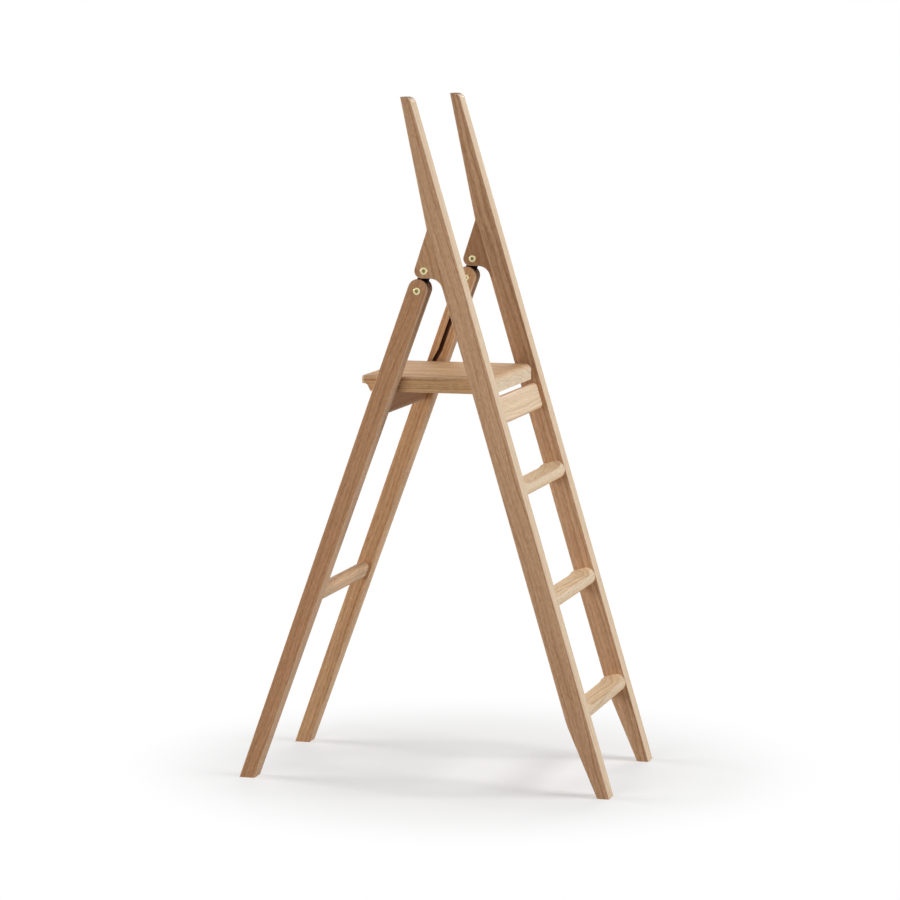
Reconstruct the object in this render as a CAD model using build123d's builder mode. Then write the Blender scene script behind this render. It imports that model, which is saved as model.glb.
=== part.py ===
from build123d import *
from math import acos, atan, atan2, cos, degrees, hypot, pi, sin
import os

os.makedirs("parts", exist_ok=True)

# A folding wooden step ladder with a lifting platform, in millimetres.
# X runs across the ladder, -Y is the climbing side and +Z is up. The origin is on the floor,
# midway between the front and the rear feet.
# On a stile, u is square to its front face and v runs up along it.
# On a leg, w is square to its centre line and s runs down along it from the hinge pin.

# Overall sizes
HEIGHT = 1600.0
WIDTH = 466.0
STOCK = 44.0
ARRIS = 2.0

# Stiles
STILE_SLOPE = 0.29688
STILE_DEPTH = 50.0
TOE_DEPTH = 27.2
TOE_RUN = 190.0
TOE_BEND = 200.0
TIP_DEPTH = 21.0
TIP_CORNER = 16.0

# Knuckles, glued into a shallow housing behind each stile
HOUSING = 7.0
HINGE_RUN = 1280.4
HINGE_BEHIND = 30.2
KNUCKLE_ABOVE = 87.6
KNUCKLE_STEP = 2.5
KNUCKLE_TOE = 4.8
NOSE_BACK = 5.9

# Link plates and the connector bolts through them
LINK = 49.6
PLATE_WIDTH = 27.0
PLATE_THICK = 6.0
HEAD_RADIUS = 8.5
HEAD_THICK = 2.2
HEAD_EDGE = 0.9
HEX_SIZE = 5.0
HEX_DEPTH = 3.0
SLEEVE_RADIUS = 4.5
SLEEVE_SOLID = 8.0
SCREW_RADIUS = 3.0
BOLT_END_GAP = 4.0
SCREW_ENGAGED = 24.0

# Legs
LEG_SLOPE = 0.36168
LEG_TOP_DEPTH = 47.0
LEG_TOP_LIFT = 4.5
LEG_TAPER = 0.00475

# Steps, square to the stiles with a level tread milled between two raised ends
STEP_RUNS = {"lower_step": 205.0, "middle_step": 472.0, "upper_step": 739.0}
STEP_HEIGHT = 43.0
STEP_NOSE = 1.5
TREAD_RISE = 18.6
EAR = 59.0
EAR_RUNOUT = 120.0

# Platform
PLATFORM_TOP = 956.7
PLATFORM_THICK = 37.0
PLATFORM_LENGTH = 315.2
SIDE_GAP = 6.3
PLATFORM_CORNER = 10.0
PLATFORM_ROUND = 6.0
FRONT_ROUND = 15.0
LIP_THICK = 19.0
LIP_LENGTH = 13.5
GRIP_LENGTH = 22.5
GRIP_COVE = 8.0

# Platform pivot
PIVOT_SETBACK = 18.7
PIN_RADIUS = 4.0
PIN_IN_STILE = 22.0
BUSH_RADIUS = 6.0
BUSH_LENGTH = 24.0
BUSH_FLANGE_RADIUS = 9.0
BUSH_FLANGE = 2.0

# Guide pins in the leg slots
GUIDE_RADIUS = 2.4
GUIDE_OFFSET = 2.5
GUIDE_STOP = 19.3
SLOT_WIDTH = 10.3
SLOT_DEPTH = 12.0
JOG = 5.0
JOG_RUN = 26.0
JOG_ABOVE_SEAT = 48.0
SOCKET_RADIUS = 5.0
SOCKET_LENGTH = 18.0
SOCKET_FLOOR = 4.0

# Cross members
APRON_FACE = 11.5
APRON_THICK = 24.5
APRON_HEIGHT = 64.5
APRON_ROUND = 12.0
APRON_DROP = 6.9
RAIL_FACE = -6.3
RAIL_THICK = 24.0
RAIL_HEIGHT = 64.0
RAIL_ROUND = 8.5
STRETCHER_RUN = 815.0
STRETCHER_OFFSET = 0.7
STRETCHER_THICK = 25.0
STRETCHER_HEIGHT = 42.0
TENON_LENGTH = 20.0
TENON_SHOULDER = 7.0
STEP_SHOULDER = 10.5
RAIL_SHOULDER = 14.0
TENON_ROUND = 4.0

# Clearances
RUNNING = 0.05
GLUE_GAP = 0.1
PLATE_GAP = 0.4
SEAT_GAP = 0.3
OPEN_GAP = 0.4

# Derived places across the ladder
OUTER = WIDTH / 2
INNER = OUTER - STOCK
MIDDLE = OUTER - STOCK / 2
PLATFORM_SIDE = INNER - SIDE_GAP
SIDES = {"left": -1, "right": 1}

# Derived stile frame and hinge
STILE_LEAN = atan(STILE_SLOPE)
LEG_LEAN = atan(LEG_SLOPE)
HINGE_U = STILE_DEPTH + HINGE_BEHIND
HINGE_Z = HINGE_RUN * cos(STILE_LEAN) - HINGE_U * sin(STILE_LEAN)
HINGE_BACK = HINGE_U * cos(STILE_LEAN) + HINGE_RUN * sin(STILE_LEAN)

# Derived leg edges: each edge is tangent to the round top and runs to the heel on the floor.
# The round top's centre lies a little above the bolt.
LEG_RADIUS = LEG_TOP_DEPTH / 2
TAPER_ANGLE = atan(LEG_TAPER)
LEG_EDGE = LEG_RADIUS / cos(TAPER_ANGLE) + LINK * LEG_TAPER
LEG_TOP = LINK - LEG_TOP_LIFT
TOP_RADIUS = (LEG_EDGE - LEG_TOP * LEG_TAPER) * cos(TAPER_ANGLE)
HEEL_RUN = (HINGE_Z + LEG_EDGE * sin(LEG_LEAN)) / (cos(LEG_LEAN) + LEG_TAPER * sin(LEG_LEAN))
HEEL_OFFSET = LEG_EDGE - HEEL_RUN * LEG_TAPER
SPREAD = HINGE_BACK + HEEL_RUN * sin(LEG_LEAN) + HEEL_OFFSET * cos(LEG_LEAN)
FRONT = -SPREAD / 2
HINGE_Y = FRONT + HINGE_BACK


def stile_point(u, v):
    """Y and Z of a point given on the stile."""
    return (
        FRONT + u * cos(STILE_LEAN) + v * sin(STILE_LEAN),
        v * cos(STILE_LEAN) - u * sin(STILE_LEAN),
    )


def leg_point(w, s):
    """Y and Z of a point given on the leg."""
    return (
        HINGE_Y + w * cos(LEG_LEAN) + s * sin(LEG_LEAN),
        HINGE_Z + w * sin(LEG_LEAN) - s * cos(LEG_LEAN),
    )


def leg_run_at(w, z):
    """How far down the leg the line at offset w comes to height z."""
    return (HINGE_Z + w * sin(LEG_LEAN) - z) / cos(LEG_LEAN)


def stile_plane(x):
    """Plane across the ladder at x whose local axes are u and v."""
    return Plane(
        origin=(x, FRONT, 0),
        x_dir=(0, cos(STILE_LEAN), -sin(STILE_LEAN)),
        z_dir=(1, 0, 0),
    )


def leg_plane(x):
    """Plane across the ladder at x whose local axes are w and minus s."""
    return Plane(
        origin=(x, HINGE_Y, HINGE_Z),
        x_dir=(0, cos(LEG_LEAN), sin(LEG_LEAN)),
        z_dir=(1, 0, 0),
    )


# Derived handle, which tapers from the top of the knuckle to the tip
KNUCKLE_TOP = HINGE_RUN + KNUCKLE_ABOVE
KNUCKLE_CREST = STILE_DEPTH - KNUCKLE_STEP
TIP_RUN = (HEIGHT + STILE_DEPTH * sin(STILE_LEAN)) / cos(STILE_LEAN)
HANDLE_TAPER = (KNUCKLE_CREST - TIP_DEPTH) / (TIP_RUN - KNUCKLE_TOP)
HANDLE_RUN = KNUCKLE_TOP - KNUCKLE_STEP / HANDLE_TAPER

# Derived relief under the knuckle, round the place where the folded leg's top comes to lie.
# The nose is as far behind the hinge as it needs, and its level underside runs into that relief.
FOLDED_RUN = HINGE_RUN - LINK
RELIEF_RADIUS = HINGE_U - STILE_DEPTH
NOSE_RADIUS = LINK * cos(STILE_LEAN) - RELIEF_RADIUS
NOSE_U = HINGE_U + NOSE_BACK * cos(STILE_LEAN)
NOSE_V = HINGE_RUN + NOSE_BACK * sin(STILE_LEAN)
KNUCKLE_LOW = FOLDED_RUN - KNUCKLE_TOE
GLUE_FACE = STILE_DEPTH - HOUSING

# Derived platform: its pivot is equally far from the guide pin's open and folded places
PLATFORM_UNDER = PLATFORM_TOP - PLATFORM_THICK
PIVOT_Z = PLATFORM_TOP - PLATFORM_THICK / 2
SEAT_RUN = leg_run_at(GUIDE_OFFSET, PIVOT_Z)
SEAT_Y, SEAT_Z = leg_point(GUIDE_OFFSET, SEAT_RUN)
GUIDE_END = LINK + GUIDE_STOP
FOLDED_Y, FOLDED_Z = stile_point(HINGE_U + GUIDE_OFFSET, HINGE_RUN - GUIDE_END)
PIVOT_Y = (SEAT_Y**2 - FOLDED_Y**2 - (FOLDED_Z - PIVOT_Z) ** 2) / (2 * (SEAT_Y - FOLDED_Y))
PLATFORM_FRONT = PIVOT_Y - PIVOT_SETBACK
PLATFORM_REAR = PLATFORM_FRONT + PLATFORM_LENGTH

# Derived cross members
TENON_U = (STEP_NOSE + STILE_DEPTH) / 2
STEP_TENON = (STILE_DEPTH - STEP_NOSE - 2 * STEP_SHOULDER, STEP_HEIGHT - 2 * TENON_SHOULDER)
APRON_U = APRON_FACE + APRON_THICK / 2
APRON_TOP = (PLATFORM_UNDER - APRON_DROP + APRON_FACE * sin(STILE_LEAN)) / cos(STILE_LEAN)
APRON_V = APRON_TOP - APRON_HEIGHT / 2
APRON_TENON = (APRON_THICK - 2 * TENON_SHOULDER, APRON_HEIGHT - 2 * TENON_SHOULDER)
RAIL_W = RAIL_FACE + RAIL_THICK / 2
RAIL_TOP = PLATFORM_UNDER - SEAT_GAP
RAIL_RUN = leg_run_at(RAIL_FACE, RAIL_TOP)
RAIL_S = RAIL_RUN + RAIL_HEIGHT / 2
RAIL_TENON = (RAIL_THICK - 2 * TENON_SHOULDER, RAIL_HEIGHT - 2 * RAIL_SHOULDER)
STRETCHER_TENON = (STRETCHER_THICK - TENON_SHOULDER, STRETCHER_HEIGHT - 2 * TENON_SHOULDER)
MORTISE_DEPTH = TENON_LENGTH + GLUE_GAP


def finish(builder, name):
    """Names a finished piece and writes it."""
    builder.part.label = name
    export_step(builder.part, f"parts/{name}.step")


def tenon(size, gap=0.0):
    """Draws a tenon's section, or its mortise's when given a gap."""
    RectangleRounded(size[0] + 2 * gap, size[1] + 2 * gap, TENON_ROUND)


def round_side_edges():
    """Rounds the long edges of a bar's two side faces, but not those on the floor."""
    side_edges = faces().filter_by(Axis.X).edges()
    fillet(side_edges.filter_by_position(Axis.Z, ARRIS, HEIGHT + ARRIS), ARRIS)


def make_stile(side, hand):
    with BuildPart() as stile:
        # Bar with a tapered toe and a tapered handle, cut level at the floor and at the top
        with BuildSketch(stile_plane(hand * MIDDLE)):
            with BuildLine():
                Polyline(
                    (0, 0),
                    (TOE_DEPTH, 0),
                    (STILE_DEPTH, TOE_RUN),
                    (STILE_DEPTH, HANDLE_RUN),
                    (TIP_DEPTH, TIP_RUN),
                    (0, TIP_RUN),
                    close=True,
                )
            make_face()
            fillet(vertices().sort_by_distance((STILE_DEPTH, TOE_RUN))[0], TOE_BEND)
        extrude(amount=STOCK / 2, both=True)
        split(bisect_by=Plane.XY, keep=Keep.TOP)
        split(bisect_by=Plane.XY.offset(HEIGHT), keep=Keep.BOTTOM)
        top_edges = edges().filter_by(Axis.X).group_by(Axis.Z)[-1]
        fillet(top_edges.sort_by(Axis.Y)[0], TIP_CORNER)
        round_side_edges()
        # Housing for the knuckle
        with BuildSketch(stile_plane(hand * MIDDLE)):
            with Locations((STILE_DEPTH, (KNUCKLE_LOW + KNUCKLE_TOP) / 2)):
                Rectangle(2 * HOUSING, KNUCKLE_TOP - KNUCKLE_LOW)
        extrude(amount=STOCK / 2, both=True, mode=Mode.SUBTRACT)
        # Mortises for the steps and the apron
        with BuildSketch(stile_plane(hand * INNER)):
            with Locations([(TENON_U, run) for run in STEP_RUNS.values()]):
                tenon(STEP_TENON, GLUE_GAP)
            with Locations((APRON_U, APRON_V)):
                tenon(APRON_TENON, GLUE_GAP)
        extrude(amount=hand * MORTISE_DEPTH, mode=Mode.SUBTRACT)
        # Blind hole for the platform pivot pin
        with BuildSketch(Plane.YZ.offset(hand * INNER)):
            with Locations((PIVOT_Y, PIVOT_Z)):
                Circle(PIN_RADIUS + RUNNING)
        extrude(amount=hand * PIN_IN_STILE, mode=Mode.SUBTRACT)
    finish(stile, f"{side}_stile")


def make_knuckle(side, hand):
    # The rear edge runs from the crest to its tangent point on the nose
    crest = (KNUCKLE_CREST, KNUCKLE_TOP)
    reach = hypot(crest[0] - NOSE_U, crest[1] - NOSE_V)
    nose_start = atan2(crest[1] - NOSE_V, crest[0] - NOSE_U) - acos(NOSE_RADIUS / reach)
    down = STILE_LEAN - pi / 2
    up = STILE_LEAN + pi / 2

    def on_nose(angle):
        return (NOSE_U + NOSE_RADIUS * cos(angle), NOSE_V + NOSE_RADIUS * sin(angle))

    def on_relief(angle):
        return (HINGE_U + RELIEF_RADIUS * cos(angle), FOLDED_RUN + RELIEF_RADIUS * sin(angle))

    with BuildPart() as knuckle:
        with BuildSketch(stile_plane(hand * MIDDLE)):
            with BuildLine():
                Polyline(
                    (STILE_DEPTH, FOLDED_RUN),
                    (STILE_DEPTH, KNUCKLE_LOW),
                    (GLUE_FACE, KNUCKLE_LOW),
                    (GLUE_FACE, KNUCKLE_TOP),
                    crest,
                    on_nose(nose_start),
                )
                ThreePointArc(
                    on_nose(nose_start),
                    on_nose((nose_start + down) / 2),
                    on_nose(down),
                )
                Line(on_nose(down), on_relief(up))
                ThreePointArc(
                    on_relief(up),
                    on_relief((up + pi) / 2),
                    (STILE_DEPTH, FOLDED_RUN),
                )
            make_face()
        extrude(amount=STOCK / 2, both=True)
        # Rounded arrises on the rear edge, round the nose and along the relief
        side_edges = faces().filter_by(Axis.X).edges()
        fillet(side_edges.filter_by(lambda edge: edge.center().Y > HINGE_Y - HEAD_RADIUS), ARRIS)
        # Slot in which the link plate turns, from its open to its folded direction
        swing = PLATE_WIDTH / 2 + PLATE_GAP
        fold = STILE_LEAN + LEG_LEAN
        open_edge = (HINGE_U + swing * cos(fold), HINGE_RUN + swing * sin(fold))
        with BuildSketch(stile_plane(hand * MIDDLE)):
            with BuildLine():
                Polyline(
                    (HINGE_U - swing, HINGE_RUN),
                    (HINGE_U - swing, HINGE_RUN - LINK),
                    (open_edge[0] + LINK * sin(fold), open_edge[1] - LINK * cos(fold)),
                    open_edge,
                    close=True,
                )
            make_face()
            with Locations((HINGE_U, HINGE_RUN)):
                Circle(swing)
        extrude(amount=PLATE_THICK / 2 + PLATE_GAP, both=True, mode=Mode.SUBTRACT)
        # Hole for the hinge bolt
        with BuildSketch(leg_plane(hand * INNER)):
            Circle(SLEEVE_RADIUS + RUNNING)
        extrude(amount=hand * STOCK, mode=Mode.SUBTRACT)
    finish(knuckle, f"{side}_knuckle")


def make_leg(side, hand):
    tangent_w = TOP_RADIUS * cos(TAPER_ANGLE)
    tangent_s = LEG_TOP + TOP_RADIUS * sin(TAPER_ANGLE)
    end_s = HEEL_RUN + STOCK
    end_w = LEG_EDGE - end_s * LEG_TAPER
    jog_start = SEAT_RUN - JOG_ABOVE_SEAT
    slot_path = [
        (0, -GUIDE_END),
        (0, -jog_start),
        (JOG, -jog_start - JOG_RUN),
        (JOG, -SEAT_RUN),
    ]
    with BuildPart() as leg:
        # Tapered bar with a round top, cut level at the floor
        with BuildSketch(leg_plane(hand * MIDDLE)):
            with BuildLine():
                Polyline(
                    (-tangent_w, -tangent_s),
                    (-end_w, -end_s),
                    (end_w, -end_s),
                    (tangent_w, -tangent_s),
                )
                ThreePointArc(
                    (tangent_w, -tangent_s),
                    (0, TOP_RADIUS - LEG_TOP),
                    (-tangent_w, -tangent_s),
                )
            make_face()
        extrude(amount=STOCK / 2, both=True)
        split(bisect_by=Plane.XY, keep=Keep.TOP)
        round_side_edges()
        # Slot that holds the link plate, open at the top
        with BuildSketch(leg_plane(hand * MIDDLE)):
            with Locations((0, LEG_RADIUS - LINK)):
                SlotCenterToCenter(2 * LEG_RADIUS, PLATE_WIDTH + 2 * GLUE_GAP, rotation=90)
        extrude(amount=PLATE_THICK / 2, both=True, mode=Mode.SUBTRACT)
        # Hole for the bolt through the link plate
        with BuildSketch(leg_plane(hand * INNER)):
            with Locations((0, -LINK)):
                Circle(SLEEVE_RADIUS + RUNNING)
        extrude(amount=hand * STOCK, mode=Mode.SUBTRACT)
        # Guide slot with a jog towards the pin's seat
        with BuildSketch(leg_plane(hand * INNER)):
            for start, end in zip(slot_path, slot_path[1:]):
                centre = ((start[0] + end[0]) / 2, (start[1] + end[1]) / 2)
                SlotCenterPoint(centre, end, SLOT_WIDTH)
        extrude(amount=hand * SLOT_DEPTH, mode=Mode.SUBTRACT)
        # Mortises for the rail and the stretcher
        with BuildSketch(leg_plane(hand * INNER)):
            with Locations((RAIL_W, -RAIL_S)):
                tenon(RAIL_TENON, GLUE_GAP)
            with Locations((STRETCHER_OFFSET, -STRETCHER_RUN)):
                tenon(STRETCHER_TENON, GLUE_GAP)
        extrude(amount=hand * MORTISE_DEPTH, mode=Mode.SUBTRACT)
    finish(leg, f"{side}_leg")


def make_link_plate(side, hand):
    with BuildPart() as plate:
        with BuildSketch(leg_plane(hand * MIDDLE)):
            with Locations((0, -LINK / 2)):
                SlotCenterToCenter(LINK, PLATE_WIDTH, rotation=90)
            with Locations((0, 0), (0, -LINK)):
                Circle(SLEEVE_RADIUS + RUNNING, mode=Mode.SUBTRACT)
        extrude(amount=PLATE_THICK / 2, both=True)
    finish(plate, f"{side}_link_plate")


def make_bolt(name, face, radius, length, bore=0.0):
    """Headed bolt standing on a face, with a hexagon socket and an optional bore from its end."""
    with BuildPart() as bolt:
        with BuildSketch(face):
            Circle(HEAD_RADIUS)
        extrude(amount=HEAD_THICK)
        crown = faces().filter_by(Axis.X).sort_by_distance(face.offset(HEAD_THICK).origin)[0]
        fillet(crown.edges(), HEAD_EDGE)
        with BuildSketch(face):
            Circle(radius)
        extrude(amount=-length)
        with BuildSketch(face.offset(HEAD_THICK)):
            RegularPolygon(HEX_SIZE / 2, 6, major_radius=False)
        extrude(amount=-HEX_DEPTH, mode=Mode.SUBTRACT)
        if bore > 0:
            with BuildSketch(face.offset(-length)):
                Circle(SCREW_RADIUS + RUNNING)
            extrude(amount=bore, mode=Mode.SUBTRACT)
    finish(bolt, name)


def make_connector(name, hand, place):
    """Sleeve nut from the outer face and a screw from the inner face, on one axis."""
    outer_face = Plane(origin=(hand * OUTER, *place), x_dir=(0, 1, 0), z_dir=(hand, 0, 0))
    inner_face = Plane(origin=(hand * INNER, *place), x_dir=(0, 1, 0), z_dir=(-hand, 0, 0))
    sleeve_length = STOCK - BOLT_END_GAP
    sleeve_bore = sleeve_length - SLEEVE_SOLID
    make_bolt(f"{name}_sleeve_nut", outer_face, SLEEVE_RADIUS, sleeve_length, sleeve_bore)
    make_bolt(f"{name}_screw", inner_face, SCREW_RADIUS, BOLT_END_GAP + SCREW_ENGAGED)


def make_step(name, run):
    tread_z = stile_point(STILE_DEPTH, run + TREAD_RISE)[1]
    half = STEP_HEIGHT / 2
    with BuildPart() as step:
        # Bar with a full round nose and a square back
        with BuildSketch(stile_plane(0)):
            with BuildLine():
                Polyline(
                    (STEP_NOSE + half, run - half),
                    (STILE_DEPTH, run - half),
                    (STILE_DEPTH, run + half),
                    (STEP_NOSE + half, run + half),
                )
                ThreePointArc(
                    (STEP_NOSE + half, run + half),
                    (STEP_NOSE, run),
                    (STEP_NOSE + half, run - half),
                )
            make_face()
        extrude(amount=INNER, both=True)
        with BuildSketch(stile_plane(0)):
            with Locations((TENON_U, run)):
                tenon(STEP_TENON)
        extrude(amount=INNER + TENON_LENGTH, both=True)
        # Level tread, which sweeps up in a wide arc to a raised end at each stile
        with BuildSketch(Plane.XZ):
            with Locations((0, tread_z + EAR_RUNOUT)):
                Rectangle(2 * (INNER - EAR + EAR_RUNOUT), 2 * EAR_RUNOUT)
            fillet(vertices().group_by(Axis.Y)[0], EAR_RUNOUT)
        extrude(amount=SPREAD, both=True, mode=Mode.SUBTRACT)
    finish(step, name)


def make_apron():
    with BuildPart() as apron:
        with BuildSketch(stile_plane(0)):
            with Locations((APRON_U, APRON_V)):
                RectangleRounded(APRON_THICK, APRON_HEIGHT, APRON_ROUND)
        extrude(amount=INNER, both=True)
        with BuildSketch(stile_plane(0)):
            with Locations((APRON_U, APRON_V)):
                tenon(APRON_TENON)
        extrude(amount=INNER + TENON_LENGTH, both=True)
    finish(apron, "front_apron")


def make_rail():
    with BuildPart() as rail:
        # Board with a rounded lower edge and a level top under the platform
        with BuildSketch(leg_plane(0)):
            with Locations((RAIL_W, -RAIL_S)):
                Rectangle(RAIL_THICK, RAIL_HEIGHT)
            fillet(vertices().group_by(Axis.Y)[0], RAIL_ROUND)
        extrude(amount=INNER, both=True)
        split(bisect_by=Plane.XY.offset(RAIL_TOP), keep=Keep.BOTTOM)
        with BuildSketch(leg_plane(0)):
            with Locations((RAIL_W, -RAIL_S)):
                tenon(RAIL_TENON)
        extrude(amount=INNER + TENON_LENGTH, both=True)
    finish(rail, "rear_rail")


def make_stretcher():
    with BuildPart() as stretcher:
        with BuildSketch(leg_plane(0)):
            with Locations((STRETCHER_OFFSET, -STRETCHER_RUN)):
                SlotOverall(STRETCHER_HEIGHT, STRETCHER_THICK, rotation=90)
        extrude(amount=INNER, both=True)
        with BuildSketch(leg_plane(0)):
            with Locations((STRETCHER_OFFSET, -STRETCHER_RUN)):
                tenon(STRETCHER_TENON)
        extrude(amount=INNER + TENON_LENGTH, both=True)
    finish(stretcher, "rear_stretcher")


def make_platform():
    lip_under = PLATFORM_TOP - LIP_THICK
    beyond = PLATFORM_REAR + PLATFORM_THICK
    with BuildPart() as platform:
        # Board with rounded rear corners
        with BuildSketch(Plane.XY.offset(PLATFORM_UNDER)):
            with Locations((0, (PLATFORM_FRONT + PLATFORM_REAR) / 2)):
                Rectangle(2 * PLATFORM_SIDE, PLATFORM_LENGTH)
            fillet(vertices().group_by(Axis.Y)[-1], PLATFORM_CORNER)
        extrude(amount=PLATFORM_THICK)
        # Finger grip under the rear edge
        with BuildSketch(Plane.YZ):
            with BuildLine():
                Polyline(
                    (PLATFORM_REAR - GRIP_LENGTH, PLATFORM_UNDER),
                    (PLATFORM_REAR - LIP_LENGTH, lip_under),
                    (beyond, lip_under),
                    (beyond, PLATFORM_UNDER),
                    close=True,
                )
            make_face()
            fillet(vertices().sort_by_distance((PLATFORM_REAR - LIP_LENGTH, lip_under))[0], GRIP_COVE)
        extrude(amount=OUTER, both=True, mode=Mode.SUBTRACT)
        # Large round on the upper front edge, smaller one on the other top edges and the front corners
        top_edges = edges().filter_by(Axis.X).group_by(Axis.Z)[-1]
        fillet(top_edges.sort_by(Axis.Y)[0], FRONT_ROUND)
        fillet(faces().sort_by(Axis.Z)[-1].edges().sort_by(Axis.Y)[1:], PLATFORM_ROUND)
        # Holes for the pivot bushes and the guide sockets
        for hand in SIDES.values():
            with BuildSketch(Plane.YZ.offset(hand * PLATFORM_SIDE)):
                with Locations((PIVOT_Y, PIVOT_Z)):
                    Circle(BUSH_RADIUS + RUNNING)
            extrude(amount=-hand * BUSH_LENGTH, mode=Mode.SUBTRACT)
            with BuildSketch(Plane.YZ.offset(hand * PLATFORM_SIDE)):
                with Locations((SEAT_Y, SEAT_Z)):
                    Circle(SOCKET_RADIUS + RUNNING)
            extrude(amount=-hand * SOCKET_LENGTH, mode=Mode.SUBTRACT)
    finish(platform, "platform")


def make_pivot(side, hand):
    """Pivot pin held in the stile and the flanged bush that turns on it."""
    pin_length = PIN_IN_STILE + SIDE_GAP + BUSH_LENGTH - SEAT_GAP
    with BuildPart() as pin:
        with BuildSketch(Plane.YZ.offset(hand * (INNER + PIN_IN_STILE))):
            with Locations((PIVOT_Y, PIVOT_Z)):
                Circle(PIN_RADIUS)
        extrude(amount=-hand * pin_length)
    finish(pin, f"{side}_pivot_pin")

    with BuildPart() as bush:
        with BuildSketch(Plane.YZ.offset(hand * PLATFORM_SIDE)):
            with Locations((PIVOT_Y, PIVOT_Z)):
                Circle(BUSH_FLANGE_RADIUS)
        extrude(amount=hand * BUSH_FLANGE)
        with BuildSketch(Plane.YZ.offset(hand * PLATFORM_SIDE)):
            with Locations((PIVOT_Y, PIVOT_Z)):
                Circle(BUSH_RADIUS)
        extrude(amount=-hand * BUSH_LENGTH)
        with BuildSketch(Plane.YZ.offset(hand * (PLATFORM_SIDE + BUSH_FLANGE))):
            with Locations((PIVOT_Y, PIVOT_Z)):
                Circle(PIN_RADIUS + RUNNING)
        extrude(amount=-hand * (BUSH_FLANGE + BUSH_LENGTH), mode=Mode.SUBTRACT)
    finish(bush, f"{side}_pivot_bush")


def make_guide(side, hand):
    """Guide pin in the leg slot and its socket in the platform's side."""
    pin_start = PLATFORM_SIDE + OPEN_GAP
    pin_end = INNER + SLOT_DEPTH - OPEN_GAP
    with BuildPart() as pin:
        with BuildSketch(Plane.YZ.offset(hand * pin_start)):
            with Locations((SEAT_Y, SEAT_Z)):
                Circle(GUIDE_RADIUS)
        extrude(amount=hand * (pin_end - pin_start))
    finish(pin, f"{side}_guide_pin")

    with BuildPart() as socket:
        with BuildSketch(Plane.YZ.offset(hand * PLATFORM_SIDE)):
            with Locations((SEAT_Y, SEAT_Z)):
                Circle(SOCKET_RADIUS)
        extrude(amount=-hand * SOCKET_LENGTH)
        with BuildSketch(Plane.YZ.offset(hand * PLATFORM_SIDE)):
            with Locations((SEAT_Y, SEAT_Z)):
                Circle(GUIDE_RADIUS + RUNNING)
        extrude(amount=-hand * (SOCKET_LENGTH - SOCKET_FLOOR), mode=Mode.SUBTRACT)
    finish(socket, f"{side}_guide_socket")


for side, hand in SIDES.items():
    make_stile(side, hand)
    make_knuckle(side, hand)
    make_leg(side, hand)
    make_link_plate(side, hand)
    make_connector(f"{side}_hinge", hand, leg_point(0, 0))
    make_connector(f"{side}_leg", hand, leg_point(0, LINK))
    make_pivot(side, hand)
    make_guide(side, hand)
for name, run in STEP_RUNS.items():
    make_step(name, run)
make_apron()
make_platform()
make_rail()
make_stretcher()

# Places and travels of the moving parts
fold_angle = STILE_LEAN + LEG_LEAN
lift_angle = atan2(FOLDED_Z - PIVOT_Z, FOLDED_Y - PIVOT_Y)
print("hinge pin y z", HINGE_Y, HINGE_Z)
print("platform pivot y z", PIVOT_Y, PIVOT_Z)
print("guide seat y z", SEAT_Y, SEAT_Z, "travel", SEAT_RUN - GUIDE_END)
print("fold degrees", degrees(fold_angle), "platform lift degrees", degrees(lift_angle))
print("lift per fold", lift_angle / fold_angle, "travel per radian", (SEAT_RUN - GUIDE_END) / fold_angle)
print("spread", SPREAD, "platform front and rear", PLATFORM_FRONT, PLATFORM_REAR)
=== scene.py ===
# %% [markdown]
# # A folding oak step ladder
# The ladder has two leaning stiles that become handles, three steps, a platform that lifts, and
# a rear frame that folds in under two glued-on knuckles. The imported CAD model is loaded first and
# never changed: it fixes every size, and each piece made below takes the place of one of its parts.

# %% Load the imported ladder
import math

import bmesh
import bpy
from mathutils import Matrix, Vector


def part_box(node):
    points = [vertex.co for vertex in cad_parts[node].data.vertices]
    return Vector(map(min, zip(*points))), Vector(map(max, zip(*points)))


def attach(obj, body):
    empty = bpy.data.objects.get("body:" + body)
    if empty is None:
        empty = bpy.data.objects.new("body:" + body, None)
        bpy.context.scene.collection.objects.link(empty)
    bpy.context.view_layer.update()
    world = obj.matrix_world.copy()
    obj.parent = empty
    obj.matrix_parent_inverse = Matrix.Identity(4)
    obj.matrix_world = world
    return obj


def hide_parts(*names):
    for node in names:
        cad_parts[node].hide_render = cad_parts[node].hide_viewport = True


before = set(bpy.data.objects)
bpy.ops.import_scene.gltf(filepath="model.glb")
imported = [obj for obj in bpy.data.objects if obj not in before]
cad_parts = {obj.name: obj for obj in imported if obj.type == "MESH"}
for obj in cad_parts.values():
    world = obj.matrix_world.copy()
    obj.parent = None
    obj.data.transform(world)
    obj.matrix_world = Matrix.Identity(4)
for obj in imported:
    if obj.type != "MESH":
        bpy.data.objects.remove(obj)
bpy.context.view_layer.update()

# %% [markdown]
# ## Camera
# The photograph was taken from the ladder's left, a little in front of it and from just above its
# handles, with a long lens. Two directions are enough to turn a camera: where it looks, and which
# way is up. A long lens is a large focal length here, because the sensor keeps its 36 mm.

# %% Camera
CAMERA_PLACE = Vector((-7.86259, -2.19770, 1.78181))
LOOK = Vector((0.95581, 0.26672, -0.12362)).normalized()
LENS = 139.25
SENSOR_WIDTH = 36.0
LADDER_MIDDLE = Vector((0.0, 0.0, 0.8))


def aimed(name, data, place, look):
    """The object of a camera or a lamp, in its place and looking in a direction."""
    made = bpy.data.objects.new(name, data)
    made.location = place
    made.rotation_euler = look.to_track_quat("-Z", "Y").to_euler()
    bpy.context.scene.collection.objects.link(made)
    return made


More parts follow.
